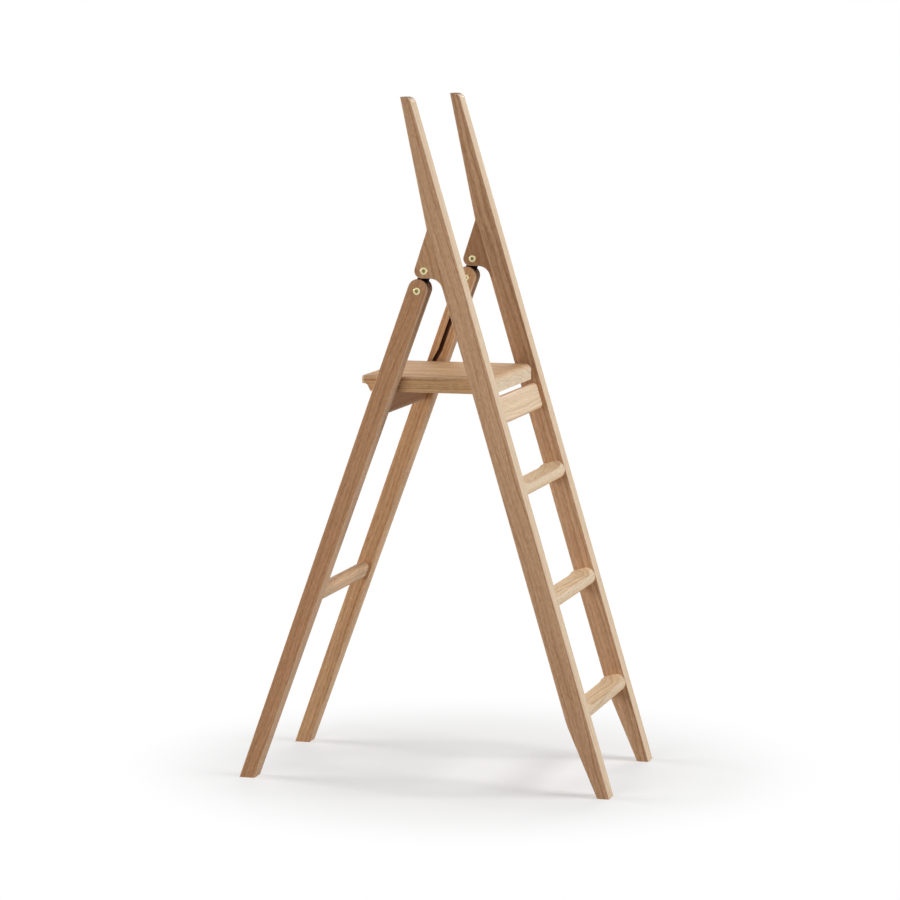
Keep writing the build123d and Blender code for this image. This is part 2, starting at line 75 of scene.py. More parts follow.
photo_camera = bpy.data.cameras.new("photo_camera")
photo_camera.lens = LENS
photo_camera.sensor_width = SENSOR_WIDTH
bpy.context.scene.camera = aimed("photo_camera", photo_camera, CAMERA_PLACE, LOOK)
print("camera", round((CAMERA_PLACE - LADDER_MIDDLE).length, 2), "m from the ladder")

# %% [markdown]
# ## Writing a finish as sums
# A finish is a tree of nodes, and a long one is hard to read as boxes and wires. Here one small
# class stands for a node's output, and ordinary Python sums on it add the Math nodes. Every node
# comes from one method, which sets the node up first and then fills or links its sockets. A node's
# type is written there without the ShaderNode that each of these types starts with.


# %% Sums on sockets
def sum_node(operation, reflected=False):
    """An operator that adds one Math node; a reflected one has the reading on its right."""

    def operator(reading, other):
        first, second = (other, reading) if reflected else (reading, other)
        settings = {"operation": operation}
        return reading.finish.node("Math", settings, {0: first, 1: second})

    return operator


class Reading:
    """One output of a finish's nodes, on which sums are written as in Python."""

    def __init__(self, finish, socket):
        self.finish = finish
        self.socket = socket

    __add__, __radd__ = sum_node("ADD"), sum_node("ADD", reflected=True)
    __sub__, __rsub__ = sum_node("SUBTRACT"), sum_node("SUBTRACT", reflected=True)
    __mul__, __rmul__ = sum_node("MULTIPLY"), sum_node("MULTIPLY", reflected=True)


print("sums are written on a", Reading.__name__)


# %% Nodes of a finish
class Finish:
    """A material, or the world, that is written node by node."""

    def __init__(self, owner):
        owner.use_nodes = True
        self.owner = owner
        self.tree = owner.node_tree
        self.tree.nodes.clear()

    def node(self, kind, settings=None, sockets=None, output=0):
        """Adds a node, sets it up, fills or links its sockets and reads one of its outputs."""
        made = self.tree.nodes.new("ShaderNode" + kind)
        for name, value in (settings or {}).items():
            if name == "stops":
                self.set_stops(made.color_ramp, value)
            else:
                setattr(made, name, value)
        for name, value in (sockets or {}).items():
            self.fill(self.find(made.inputs, name), value)
        return Reading(self, self.find(made.outputs, output)) if made.outputs else None

    def find(self, sockets, name):
        """A socket by its number, or by its name among those that are in use."""
        if isinstance(name, int):
            return sockets[name]
        return next(socket for socket in sockets if socket.name == name and socket.enabled)

    def fill(self, socket, value):
        if isinstance(value, Reading):
            self.tree.links.new(value.socket, socket)
        else:
            socket.default_value = value

    def set_stops(self, ramp, stops):
        while len(ramp.elements) < len(stops):
            ramp.elements.new(1.0)
        for element, (place, shade) in zip(ramp.elements, stops):
            element.position = place
            element.color = (shade, shade, shade, 1.0)


print("nodes are written into a", Finish.__name__)


# %% Nodes that come back in every finish
def noise(finish, place, scale, detail, rough, way="3D"):
    """Cloudy noise from 0 to 1, read at a point or, in 1D, along a line."""
    spot = "W" if way == "1D" else "Vector"
    sockets = {spot: place, "Scale": scale, "Detail": detail, "Roughness": rough}
    return finish.node("TexNoise", {"noise_dimensions": way}, sockets, output="Fac")


def ramp(finish, value, stops):
    """A value that is sent through a ramp of grey stops."""
    return finish.node("ValToRGB", {"stops": stops}, {"Fac": value})


def blend(finish, share, first, second, way="MIX"):
    """Two colours that are mixed by a share, which is kept between 0 and 1."""
    settings = {"data_type": "RGBA", "clamp_factor": True, "blend_type": way}
    sockets = {"Factor": share, "A": first, "B": second}
    return finish.node("Mix", settings, sockets, output="Result")


def mark(finish, name):
    """A number that every face of the mesh carries under a name."""
    return finish.node("Attribute", {"attribute_name": name}, output="Fac")


def close_finish(finish, sockets):
    """Ends a material with one Principled shader and returns it."""
    surface = finish.node("BsdfPrincipled", {}, sockets)
    finish.node("OutputMaterial", {}, {"Surface": surface})
    return finish.owner


print("helpers: noise, ramp, blend, mark and close_finish")

# %% [markdown]
# ## Patterns of oak
# Oak shows growth rings a few millimetres apart, fine fibres and short dark pores, all of them long
# in the grain's direction and thin across it. So the point on the surface is first turned until the
# grain runs along the texture's Z axis, and then squeezed along Z, which stretches every pattern
# that is read there. The rings are circles round a heart beside the board, so each face cuts them
# as sawn timber does. A wave would space them evenly; noise read along the radius gives wide and
# narrow years.

# %% Patterns in the grain
GRAIN_SQUEEZE = 0.035
SWAY_SQUEEZE = 0.22
RIPPLE_SQUEEZE = 0.16
FLECK_SQUEEZE = 0.2
PORE_SQUEEZE = 0.06
# Every noise is given as its scale, its detail and its roughness.
SWAY = (7.0, 2.0, 0.5)
RIPPLE = (34.0, 2.0, 0.5)
RINGS = (170.0, 4.0, 0.6)
FIBRES = (420.0, 3.0, 0.6)
FLECKS = (400.0, 2.0, 0.6)
PATCHES = (22.0, 2.0, 0.5)
PORES = (1500.0, 2.0, 0.5)
SWAY_REACH = 0.05
RIPPLE_REACH = 0.012
LATE_WOOD_STOPS = [(0.30, 1.0), (0.40, 0.62), (0.52, 0.30), (0.72, 0.0)]
PORE_STOPS = [(0.30, 1.0), (0.42, 0.0)]


def grain_patterns(wood, turn, heart):
    """Late wood, fibres, flecks, patches and pores of a board with its grain turned onto Z."""
    place = wood.node("TexCoord", output="Object")
    rotation = [math.radians(angle) for angle in turn]
    sockets = {"Vector": place, "Rotation": rotation, "Location": heart}
    along = wood.node("Mapping", {"vector_type": "POINT"}, sockets)

    def squeezed(share):
        return wood.node("VectorMath", {"operation": "MULTIPLY"}, {0: along, 1: (1.0, 1.0, share)})

    flat = squeezed(0.0)
    radius = wood.node("VectorMath", {"operation": "LENGTH"}, {0: flat}, output="Value")
    sway = noise(wood, squeezed(SWAY_SQUEEZE), *SWAY)
    ripple = noise(wood, squeezed(RIPPLE_SQUEEZE), *RIPPLE)
    rings = noise(wood, radius + sway * SWAY_REACH + ripple * RIPPLE_REACH, *RINGS, way="1D")
    lengthwise = squeezed(GRAIN_SQUEEZE)
    return (
        ramp(wood, rings, LATE_WOOD_STOPS),
        noise(wood, lengthwise, *FIBRES),
        noise(wood, squeezed(FLECK_SQUEEZE), *FLECKS),
        noise(wood, lengthwise, *PATCHES),
        ramp(wood, noise(wood, squeezed(PORE_SQUEEZE), *PORES), PORE_STOPS),
    )


print("growth rings at scale", RINGS[0])

# %% [markdown]
# ## Colours of oak
# Colours are easiest to judge as screen levels from 0 to 255, but a shader works in linear light, so
# each one is turned into it first. One finish serves every oak piece, and what differs from face to
# face comes from marks that the mesh carries. An arris is a rubbed edge, smoother, and paler partly
# from wear and partly as a painted highlight. End grain drinks the oil, so it is dark and dull. Faces
# that look to the front are painted paler, as painted front light. The brown mark above zero makes a
# piece browner: on the left leg that is its own tone, on the rear rail and the right knuckle it is
# painted shade. Below zero it makes a piece lighter. The guide slot's walls are painted dark, as
# painted shade.

# %% Colours as the eye names them
NO_TONE = (1.0, 1.0, 1.0)


def linear(level):
    """A screen level from 0 to 255 as the share of light that a shader works in."""
    share = level / 255
    return share / 12.92 if share <= 0.04045 else ((share + 0.055) / 1.055) ** 2.4


def colour(levels, tone=NO_TONE):
    """A colour in screen levels as linear light, with an optional tone over it."""
    return (*(linear(level) * share for level, share in zip(levels, tone)), 1.0)


print("mid grey is", round(linear(128), 3), "in linear light")

# %% The oak finish
EARLY_WOOD = (237, 193, 150)
LATE_WOOD = (166, 112, 72)
# The brown colour is the left leg's own tone, and painted shade on the rear rail and right knuckle.
BROWN_TONE_AND_SHADE = (150, 104, 70)
PORE_BROWN = (118, 74, 44)
# The next two colours are painted front light, for faces that look to the front.
LIT_FRONT_PALE = (226, 210, 187)
LIT_FRONT_DARK = (178, 153, 121)
END_GRAIN = (92, 54, 30)
# The arris colour is partly wear from hands and partly a painted highlight.
RUBBED_AND_HIGHLIGHT = (234, 212, 184)
# This dark colour is painted shade on the walls of the guide slot.
SLOT_SHADE = (78, 44, 34)
# A light plank multiplies the colour under it.
LIGHT_PLANK = (1.30, 1.38, 1.36, 1.0)
# How much of each pattern makes up the figure, and where the figure starts to show.
LATE_FIGURE, FIBRE_FIGURE, FLECK_FIGURE, PATCH_FIGURE = 0.48, 0.6, 0.9, 0.5
FIGURE_START = 0.80
LIT_FRONT_GAIN, LIT_FRONT_START = 0.9, 0.56
# How far each colour covers what is under it.
BROWN_TONE_AND_SHADE_COVER, PORE_COVER, LIT_FRONT_COVER = 0.5, 0.34, 0.8
END_COVER, RUBBED_AND_HIGHLIGHT_COVER, SLOT_SHADE_COVER = 0.9, 0.2, 0.88
OAK_ROUGH = 0.60
FIBRE_ROUGH, PORE_ROUGH, POLISH_SMOOTH, END_ROUGH = 0.12, 0.10, 0.2, 0.4
OAK_SHINE = 0.12
PORE_DIP, LATE_DIP, FIBRE_DIP = 0.6, 0.25, 0.3
BUMP_STRENGTH, BUMP_DEPTH = 0.3, 0.0003


def oak(name, turn, heart, tone=NO_TONE):
    """Oak whose grain a turn in degrees brings onto Z, with the place of its rings' heart."""
    wood = Finish(bpy.data.materials.new(name))
    late, fibres, flecks, patches, pores = grain_patterns(wood, turn, heart)
    kinds = ("arris", "end_grain", "plank", "quarter_cut", "routed")
    arris_wear_and_highlight, end, plank, front_light, routed = (mark(wood, kind) for kind in kinds)
    sawn = late * LATE_FIGURE + fibres * FIBRE_FIGURE
    figure = sawn + flecks * FLECK_FIGURE + patches * PATCH_FIGURE
    body = blend(wood, figure - FIGURE_START, colour(EARLY_WOOD, tone), colour(LATE_WOOD, tone))
    # Above zero the brown mark gives the left leg its tone, and the rail and right knuckle painted
    # shade.
    browned_and_shaded = blend(wood, plank * BROWN_TONE_AND_SHADE_COVER, body, colour(BROWN_TONE_AND_SHADE, tone))
    mellow = blend(wood, plank * -1.0, browned_and_shaded, LIGHT_PLANK, "MULTIPLY")
    lined = blend(wood, pores * PORE_COVER, mellow, colour(PORE_BROWN, tone))
    # Faces that look to the front are painted paler, as painted front light.
    pale = blend(wood, figure * LIT_FRONT_GAIN - LIT_FRONT_START, colour(LIT_FRONT_PALE), colour(LIT_FRONT_DARK))
    front_lit = blend(wood, front_light * LIT_FRONT_COVER, lined, pale)
    oiled = blend(wood, end * END_COVER, front_lit, colour(END_GRAIN, tone))
    # An arris is paler partly from wear and partly as a painted highlight.
    polish_and_highlight = arris_wear_and_highlight * (1.0 - end)
    rubbed_and_highlit = blend(wood, polish_and_highlight * RUBBED_AND_HIGHLIGHT_COVER, oiled, colour(RUBBED_AND_HIGHLIGHT))
    # The guide slot's walls are painted dark, as painted shade.
    slot_shaded = blend(wood, routed * SLOT_SHADE_COVER, rubbed_and_highlit, colour(SLOT_SHADE))
    dull = OAK_ROUGH + fibres * FIBRE_ROUGH + pores * PORE_ROUGH
    height = 1.0 - pores * PORE_DIP - late * LATE_DIP - fibres * FIBRE_DIP
    relief = {"Strength": BUMP_STRENGTH, "Distance": BUMP_DEPTH, "Height": height}
    sockets = {
        "Base Color": slot_shaded,
        "Roughness": dull - polish_and_highlight * POLISH_SMOOTH + end * END_ROUGH,
        "Specular IOR Level": OAK_SHINE,
        "Normal": wood.node("Bump", {}, relief),
    }
    return close_finish(wood, sockets)


print("end grain covers", END_COVER, "of the colour under it")

# %% Oak for each kind of piece
STILE_LEAN = math.atan(0.29688)
LEG_LEAN = math.atan(0.36168)
UP_STILE = (math.degrees(STILE_LEAN), 0, 0)
UP_LEG = (-math.degrees(LEG_LEAN), 0, 0)
ACROSS = (0, -90, 0)
FRONT_TO_REAR = (90, 0, 0)

# Each oak has the turn of its grain, the place of its heart in metres, and its tone.
stile_oak = oak("stile_oak", UP_STILE, (0.06, 0.11, 0), (0.94, 0.95, 1.0))
knuckle_oak = oak("knuckle_oak", UP_STILE, (0.02, 0.19, 0), (0.88, 0.86, 0.86))
leg_oak = oak("leg_oak", UP_LEG, (0.05, -0.12, 0), (0.86, 0.80, 0.77))
step_oak = oak("step_oak", ACROSS, (0.05, 0.13, 0), (1.12, 1.28, 1.40))
board_oak = oak("board_oak", ACROSS, (0.09, -0.11, 0))
platform_oak = oak("platform_oak", FRONT_TO_REAR, (0.03, 0.22, 0), (0.93, 0.96, 0.91))
print("oak finishes", [made.name for made in bpy.data.materials if made.name.endswith("_oak")])

# %% [markdown]
# ## Brass, black steel and bright steel
# Metal has no colour under its gloss: it only tints what it mirrors. Fine turning marks change how
# sharply it mirrors, so they go mostly into the roughness. Brass goes dull and olive where no hand
# or cloth reaches it, in a socket. Round the side of a head the olive is partly tarnishing and partly
# painted contact shade. The black plates are painted, so their finish isn't metallic.

# %% The metal finishes
TURNING_DETAIL = 3.0
TURNING_ROUGHNESS = 0.6
TURNING_DULLS = 0.16
TARNISH_AND_SHADE = (112, 96, 34)
TARNISH_AND_SHADE_COVER = 0.75
TARNISH_DULLS = 0.2


def metal(name, light, dark, rough, speckle, metallic=1.0, shine=0.5):
    """A metal between two tints, with small marks that change its gloss."""
    plate = Finish(bpy.data.materials.new(name))
    place = plate.node("TexCoord", output="Object")
    marks = noise(plate, place, speckle, TURNING_DETAIL, TURNING_ROUGHNESS)
    # This mark is tarnishing in a socket and painted contact shade round the side of a head.
    tarnish = mark(plate, "tarnish")
    clean = blend(plate, marks, colour(light), colour(dark))
    sockets = {
        "Base Color": blend(plate, tarnish * TARNISH_AND_SHADE_COVER, clean, colour(TARNISH_AND_SHADE)),
        "Roughness": rough + marks * TURNING_DULLS + tarnish * TARNISH_DULLS,
        "Metallic": metallic,
        "Specular IOR Level": shine,
    }
    return close_finish(plate, sockets)


brass = metal("turned_brass", (246, 238, 196), (224, 210, 156), rough=0.22, speckle=900.0)
black_steel = metal("black_steel", (17, 17, 18), (8, 8, 9), 0.5, 500.0, metallic=0.0, shine=0.2)
bright_steel = metal("bright_steel", (205, 205, 203), (168, 168, 168), rough=0.22, speckle=700.0)
print("metal finishes", brass.name, black_steel.name, bright_steel.name)

# %% [markdown]
# ## Frames for the leaning bars
# The stiles lean back and the legs lean forward, and a leaning bar is awkward to draw. So each bar
# is drawn upright in millimetres and tipped into place at the end. A frame is the matrix for that.
# On a stile, Y is the depth behind the front face and Z runs up along it from the floor. On a leg,
# Y is the depth behind the middle line and Z runs up along it from the hinge.

# %% Frames
MM = 0.001
STILE_FRONT = -447.8576
HINGE_Y = -6.568976
HINGE_Z = 1204.624637


def leaning(y, z, lean):
    """The frame of a bar that starts at a Y and Z and leans by an angle."""
    return level_frame @ Matrix.Translation((0, y, z)) @ Matrix.Rotation(lean, 4, "X")


level_frame = Matrix.Scale(MM, 4)
stile_frame = leaning(STILE_FRONT, 0, -STILE_LEAN)
leg_frame = leaning(HINGE_Y, HINGE_Z, LEG_LEAN)
print("hinge at", [round(value, 4) for value in leg_frame.translation])

# %% [markdown]
# ## Drawing a board
# Every wooden piece of the ladder is a board: one outline, sawn out and rounded at its edges. A
# pencil draws the outline on a flat sheet, with a line as an extruded vertex and an arc as a spun
# one. The closed outline is filled, and extruding that face gives the board its thickness. It could
# be a curve with an extrude setting, but a mesh lets each edge be chosen and rounded by itself.

# %% A pencil for outlines
ARC_STEP = 6.0
# Points this close, in millimetres, are one point.
TOUCH = 1e-3
MARKS = ("arris", "end_grain", "quarter_cut", "plank", "routed", "tarnish")


def mark_faces(bar):
    """Gives a new mesh the marks that the finishes read from its faces."""
    for name in MARKS:
        bar.faces.layers.float.new(name)


def turn_outwards(bar):
    """Turns the normals of a closed mesh outwards."""
    bmesh.ops.recalc_face_normals(bar, faces=bar.faces[:])


def only(kind, elements):
    """The elements of one kind, such as vertices, that an operator made."""
    return [element for element in elements if isinstance(element, kind)]


class Pencil:
    """Draws an outline in the Y and Z of a frame and gives it thickness along X."""

    def __init__(self, *start):
        self.sheet = bmesh.new()
        mark_faces(self.sheet)
        self.first = self.tip = self.sheet.verts.new((0, *start))

    def line(self, *corners):
        for corner in corners:
            self.tip = bmesh.ops.extrude_vert_indiv(self.sheet, verts=[self.tip])["verts"][0]
            self.tip.co = (0, *corner)

    def arc(self, centre, degrees):
        swept = bmesh.ops.spin(
            self.sheet,
            geom=[self.tip],
            cent=(0, *centre),
            axis=(1, 0, 0),
            angle=math.radians(degrees),
            steps=max(2, round(abs(degrees) / ARC_STEP)),
        )
        self.tip = swept["geom_last"][0]

    def board(self, near, far):
        if (self.tip.co - self.first.co).length > TOUCH:
            bmesh.ops.contextual_create(self.sheet, geom=[self.tip, self.first])
        else:
            bmesh.ops.remove_doubles(self.sheet, verts=[self.tip, self.first], dist=TOUCH)
        bmesh.ops.edgeloop_fill(self.sheet, edges=self.sheet.edges[:])
        bmesh.ops.translate(self.sheet, verts=self.sheet.verts[:], vec=(near, 0, 0))
        grown = bmesh.ops.extrude_face_region(self.sheet, geom=self.sheet.faces[:])["geom"]
        moved = only(bmesh.types.BMVert, grown)
        bmesh.ops.translate(self.sheet, verts=moved, vec=(far - near, 0, 0))
        turn_outwards(self.sheet)
        return self.sheet


print("arcs are drawn in steps of", ARC_STEP, "degrees")

# %% [markdown]
# ## Sawing, easing and milling
# Five jobs come back on every bar. Sawing it off level is a bisect with the cut filled again. Easing
# an edge is a bevel, and the new faces are marked, so that the oak can look more rubbed there and
# carry a painted highlight.
# Milling takes one closed shape out of another, which needs a Boolean, since no other tool follows a
# cutter that runs out through a round nose. Drilling is milling with a round cutter. The right-hand
# piece is the left-hand one mirrored.

# %% Saw
MERGE = 1e-4


def saw_level(bar, bar_frame, height, keep):
    """Saws a bar off level at a height in millimetres and keeps what is above, 1, or below, -1."""
    to_bar = bar_frame.inverted()
    cut = bmesh.ops.bisect_plane(
        bar,
        geom=bar.verts[:] + bar.edges[:] + bar.faces[:],
        dist=MERGE,
        plane_co=to_bar @ Vector((0, 0, height * MM)),
        plane_no=(to_bar.to_3x3() @ Vector((0, 0, keep))).normalized(),
        clear_inner=True,
    )
    bmesh.ops.edgeloop_fill(bar, edges=only(bmesh.types.BMEdge, cut["geom_cut"]))
    turn_outwards(bar)


print("sawn within", MERGE, "mm")

# %% Choose edges and ease them
# Two sizes, in millimetres, for what counts as near and as very near.
NEAR = 1.0
SLIGHT = 0.1


def anywhere(y, z):
    return True


def width(edge):
    """How far an edge reaches across the ladder."""
    return abs(edge.verts[0].co.x - edge.verts[1].co.x)


def middle(edge):
    """The Y and Z of an edge's middle."""
    return ((edge.verts[0].co + edge.verts[1].co) / 2).yz


def cross_edges(bar, test=anywhere, least=NEAR):
    """The edges across the ladder whose middle passes a test on Y and Z."""
    return [edge for edge in bar.edges if width(edge) > least and test(*middle(edge))]


def side_edges(bar, test=anywhere):
    """The edges in a bar's two sides whose middle passes a test on Y and Z."""
    return [edge for edge in bar.edges if width(edge) < TOUCH and test(*middle(edge))]


def ease(bar, edges, reach, segments=4):
    """Rounds edges over and marks the new faces as an arris: rubbed, with a painted highlight."""
    made = bmesh.ops.bevel(
        bar,
        geom=edges,
        offset=reach,
        offset_type="OFFSET",
        affect="EDGES",
        segments=segments,
        profile=0.5,
        material=-1,
        clamp_overlap=True,
    )
    layer = bar.faces.layers.float["arris"]
    for face in made["faces"]:
        face[layer] = 1.0


print("near is within", NEAR, "mm")


# %% Mill, drill and mirror
def as_object(bar, name):
    """A mesh object in the scene, from a bmesh that isn't needed again."""
    mesh = bpy.data.meshes.new(name)
    bar.to_mesh(mesh)
    bar.free()
    made = bpy.data.objects.new(name, mesh)
    bpy.context.scene.collection.objects.link(made)
    return made


def mill(bar, cutter):
    """What is left of a bar when a closed cutter is taken out of it."""
    blank = as_object(bar, "blank")
    tool = as_object(cutter, "tool")
    job = blank.modifiers.new("mill", "BOOLEAN")
    job.operation = "DIFFERENCE"
    job.solver = "EXACT"
    job.object = tool
    result = blank.evaluated_get(bpy.context.evaluated_depsgraph_get())
    milled = bpy.data.meshes.new_from_object(result)
    rest = bmesh.new()
    rest.from_mesh(milled)
    for used in (blank, tool):
        spent = used.data
        bpy.data.objects.remove(used)
        bpy.data.meshes.remove(spent)
    bpy.data.meshes.remove(milled)
    bmesh.ops.remove_doubles(rest, verts=rest.verts[:], dist=MERGE)
    return rest


def drilled(bar, hole, radius, near, far):
    """A bar with a round hole drilled across the ladder, from one X to another."""
    drill = Pencil(hole[0] + radius, hole[1])
    drill.arc(hole, 360)
    return mill(bar, drill.board(near, far))


def mirrored(bar):
    """The right-hand copy of a left-hand bar."""
    other = bar.copy()
    bmesh.ops.scale(other, vec=(-1, 1, 1), verts=other.verts[:])
    turn_outwards(other)
    return other


print("more tools: mill, drilled and mirrored")

# %% [markdown]
# ## Putting a piece into the ladder
# A finished piece is tipped into its place, takes over from the CAD part of that name and moves with
# that part's body. Its faces are then marked for the oak. Those that look along the grain are end
# grain. The painted front light goes from the first share of pale, on a side face, to the second, on
# a face that looks to the front, so that the faces which the front lamps light most are painted
# paler.
# It is weaker to the rear, where the real bars aren't as pale. The shading normals are weighted by
# face size, so that broad flats stay flat beside rounded edges.

# %% Place a piece
SHARP_EDGE = math.radians(35)
BACK_PALE = 0.3
FULL_PALE = (0.0, 1.0)
ALONG_Y = (0, 1, 0)
ALONG_Z = (0, 0, 1)
NO_GRAIN = (0, 0, 0)


def mark_cuts(bar, turn, grain, plank, pale):
    """Marks each face by the way that it looks."""
    along = (turn @ Vector(grain)).normalized()
    across = (turn @ Vector(ALONG_Y)).normalized()
    names = "end_grain", "quarter_cut", "plank"
    ends, front_lights, planks_and_shades = (bar.faces.layers.float[name] for name in names)
    for face in bar.faces:
        # The more a face looks to the front, the more painted front light it gets.
        facing = face.normal.dot(across)
        share = facing ** 2 * (BACK_PALE if facing > 0 else 1.0)
        face[front_lights] = pale[0] + (pale[1] - pale[0]) * share
        face[planks_and_shades] = plank
        face[ends] = face.normal.dot(along) ** 2


def show(bar, node, bar_frame, body, slot, finish, grain=NO_GRAIN, plank=0.0, pale=FULL_PALE):
    """Puts a finished piece where a CAD node is, on its body and with its finish."""
    bmesh.ops.transform(bar, matrix=bar_frame, verts=bar.verts[:])
    turn_outwards(bar)
    mark_cuts(bar, bar_frame.to_3x3(), grain, plank, pale)
    open_edges = sum(not edge.is_manifold for edge in bar.edges)
    piece = as_object(bar, f"{node}_piece")
    piece.data.materials.append(finish)
    piece.data.shade_smooth()
    piece.data.set_sharp_from_angle(angle=SHARP_EDGE)
    shading = piece.modifiers.new("even_shading", "WEIGHTED_NORMAL")
    shading.keep_sharp = True
    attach(piece, body)
    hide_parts(node)
    print(node, len(piece.data.polygons), "faces,", open_edges, "open edges")


def show_pair(left, name, *where, planks_and_shades=(0.0, 0.0), **marks):
    """Shows a left-hand piece and its mirror image, each with its own mark for tone and painted
    shade.
    """
    right = mirrored(left)
    for side, bar, plank in (("left", left, planks_and_shades[0]), ("right", right, planks_and_shades[1])):
        show(bar, f"{side}_{name}", *where, plank=plank, **marks)


print("edges sharper than", round(math.degrees(SHARP_EDGE)), "degrees stay crisp")

# %% [markdown]
# ## Stiles
# A stile is one bar from the floor to the tip of the handle. It narrows behind the foot and behind
# the handle, its front top corner is rounded, and its back is housed out where the knuckle is glued
# in. The outline is drawn too long and the bar is sawn level at the floor and at the top, which
# saves working out where each slanting line ends.

# %% Outline of a stile
OUTER = 233.0
INNER = 189.0
HEIGHT = 1600.0
STILE_DEPTH = 50.0
FOOT_DEPTH = 27.2
FOOT_RUN = 190.0
HANDLE_DEPTH = 47.5
TIP_DEPTH = 21.0
GLUE_FACE = 43.0
HOUSING_LOW = 1226.0
HOUSING_TOP = 1368.0
BEYOND = 40.0

stile_tip = (HEIGHT + STILE_DEPTH * math.sin(STILE_LEAN)) / math.cos(STILE_LEAN)
foot_taper = (STILE_DEPTH - FOOT_DEPTH) / FOOT_RUN
handle_taper = (HANDLE_DEPTH - TIP_DEPTH) / (stile_tip - HOUSING_TOP)
pencil = Pencil(0.0, -BEYOND)
pencil.line(
    (FOOT_DEPTH - foot_taper * BEYOND, -BEYOND),
    (STILE_DEPTH, FOOT_RUN),
    (STILE_DEPTH, HOUSING_LOW),
    (GLUE_FACE, HOUSING_LOW),
    (GLUE_FACE, HOUSING_TOP),
    (HANDLE_DEPTH, HOUSING_TOP),
    (TIP_DEPTH - handle_taper * BEYOND, stile_tip + BEYOND),
    (0.0, stile_tip + BEYOND),
)
left_stile = pencil.board(-OUTER, -INNER)
saw_level(left_stile, stile_frame, 0.0, 1)
saw_level(left_stile, stile_frame, HEIGHT, -1)
print("stile", round(stile_tip), "mm long")

# %% Eased edges of a stile
ARRIS = 2.0
TIP_CORNER = 16.0
FOOT_EASE = 12.0
OFF_FLOOR = 0.5
STILE_PALE = (0.0, 1.1)


def at_foot_bend(y, z):
    return y > STILE_DEPTH - NEAR and abs(z - FOOT_RUN) < NEAR


def on_stile_arris(y, z):
    above_floor = z - y * math.tan(STILE_LEAN) > OFF_FLOOR
    in_housing = y > GLUE_FACE - NEAR and HOUSING_LOW - NEAR < z < HOUSING_TOP + NEAR
    return above_floor and not in_housing


tip_reach = TIP_CORNER * math.tan((math.pi / 2 - STILE_LEAN) / 2)
front_tip = cross_edges(left_stile, lambda y, z: y < NEAR and z > HOUSING_TOP)
ease(left_stile, front_tip, tip_reach, segments=10)
ease(left_stile, cross_edges(left_stile, at_foot_bend), FOOT_EASE, segments=6)
ease(left_stile, side_edges(left_stile, on_stile_arris), ARRIS)
stile_place = stile_frame, "front_frame", "stile_wood", stile_oak
show_pair(left_stile, "stile", *stile_place, grain=ALONG_Z, pale=STILE_PALE)

# %% [markdown]
# ## Knuckles
# A knuckle is a block glued into the back of the stile. It has a round nose behind the hinge bolt, a
# level underside and then a hollow that clears the round top of the folded leg. A slot from below
# takes the link plate, which swings in it when the ladder is folded. Its shape has to stay exact for
# that motion, so its arcs have the same centres and radii as in the CAD part. A fine chamfer along
# the glue line shows where the two timbers meet.

# %% Outline of a knuckle
HINGE = (80.2, 1280.4)
PLATE_REACH = 49.6
RELIEF = (HINGE[0], HINGE[1] - PLATE_REACH)
RELIEF_RADIUS = 30.2
NOSE_BACK = 5.9
NOSE_RADIUS = PLATE_REACH * math.cos(STILE_LEAN) - RELIEF_RADIUS
CREST = (HANDLE_DEPTH, HOUSING_TOP)
GLUE_CHAMFER = 0.4


def round_point(centre, radius, angle):
    """The point of a circle in Y and Z at an angle from the Y axis."""
    return centre[0] + radius * math.cos(angle), centre[1] + radius * math.sin(angle)


nose = round_point(HINGE, NOSE_BACK, STILE_LEAN)
crest_reach = math.hypot(CREST[0] - nose[0], CREST[1] - nose[1])
crest_turn = math.atan2(CREST[1] - nose[1], CREST[0] - nose[0])
nose_start = crest_turn - math.acos(NOSE_RADIUS / crest_reach)
down = STILE_LEAN - math.pi / 2
pencil = Pencil(GLUE_FACE, HOUSING_TOP)
pencil.line(CREST, round_point(nose, NOSE_RADIUS, nose_start))
pencil.arc(nose, math.degrees(down - nose_start))
pencil.line(round_point(RELIEF, -RELIEF_RADIUS, down))
pencil.arc(RELIEF, 90 - math.degrees(STILE_LEAN))
pencil.line((STILE_DEPTH, HOUSING_LOW), (GLUE_FACE, HOUSING_LOW))
left_knuckle = pencil.board(-OUTER, -INNER)


def on_free_edge(y, z):
    return y > STILE_DEPTH - TOUCH or (y > CREST[0] + SLIGHT and z > nose[1])


ease(left_knuckle, side_edges(left_knuckle, on_free_edge), ARRIS)
glue_line = side_edges(left_knuckle, lambda y, z: y < GLUE_FACE + SLIGHT)
ease(left_knuckle, glue_line, GLUE_CHAMFER, segments=1)
print("nose radius", round(NOSE_RADIUS, 2), "mm")

# %% The slot for the link plate and the hole for its bolt
MIDDLE = 211.0
SWING_RADIUS = 13.9
SWING_HALF = 3.4
BOLT_HOLE = 4.55
# The right knuckle is made browner as painted shade.
KNUCKLE_SHADES = (0.0, 0.8)

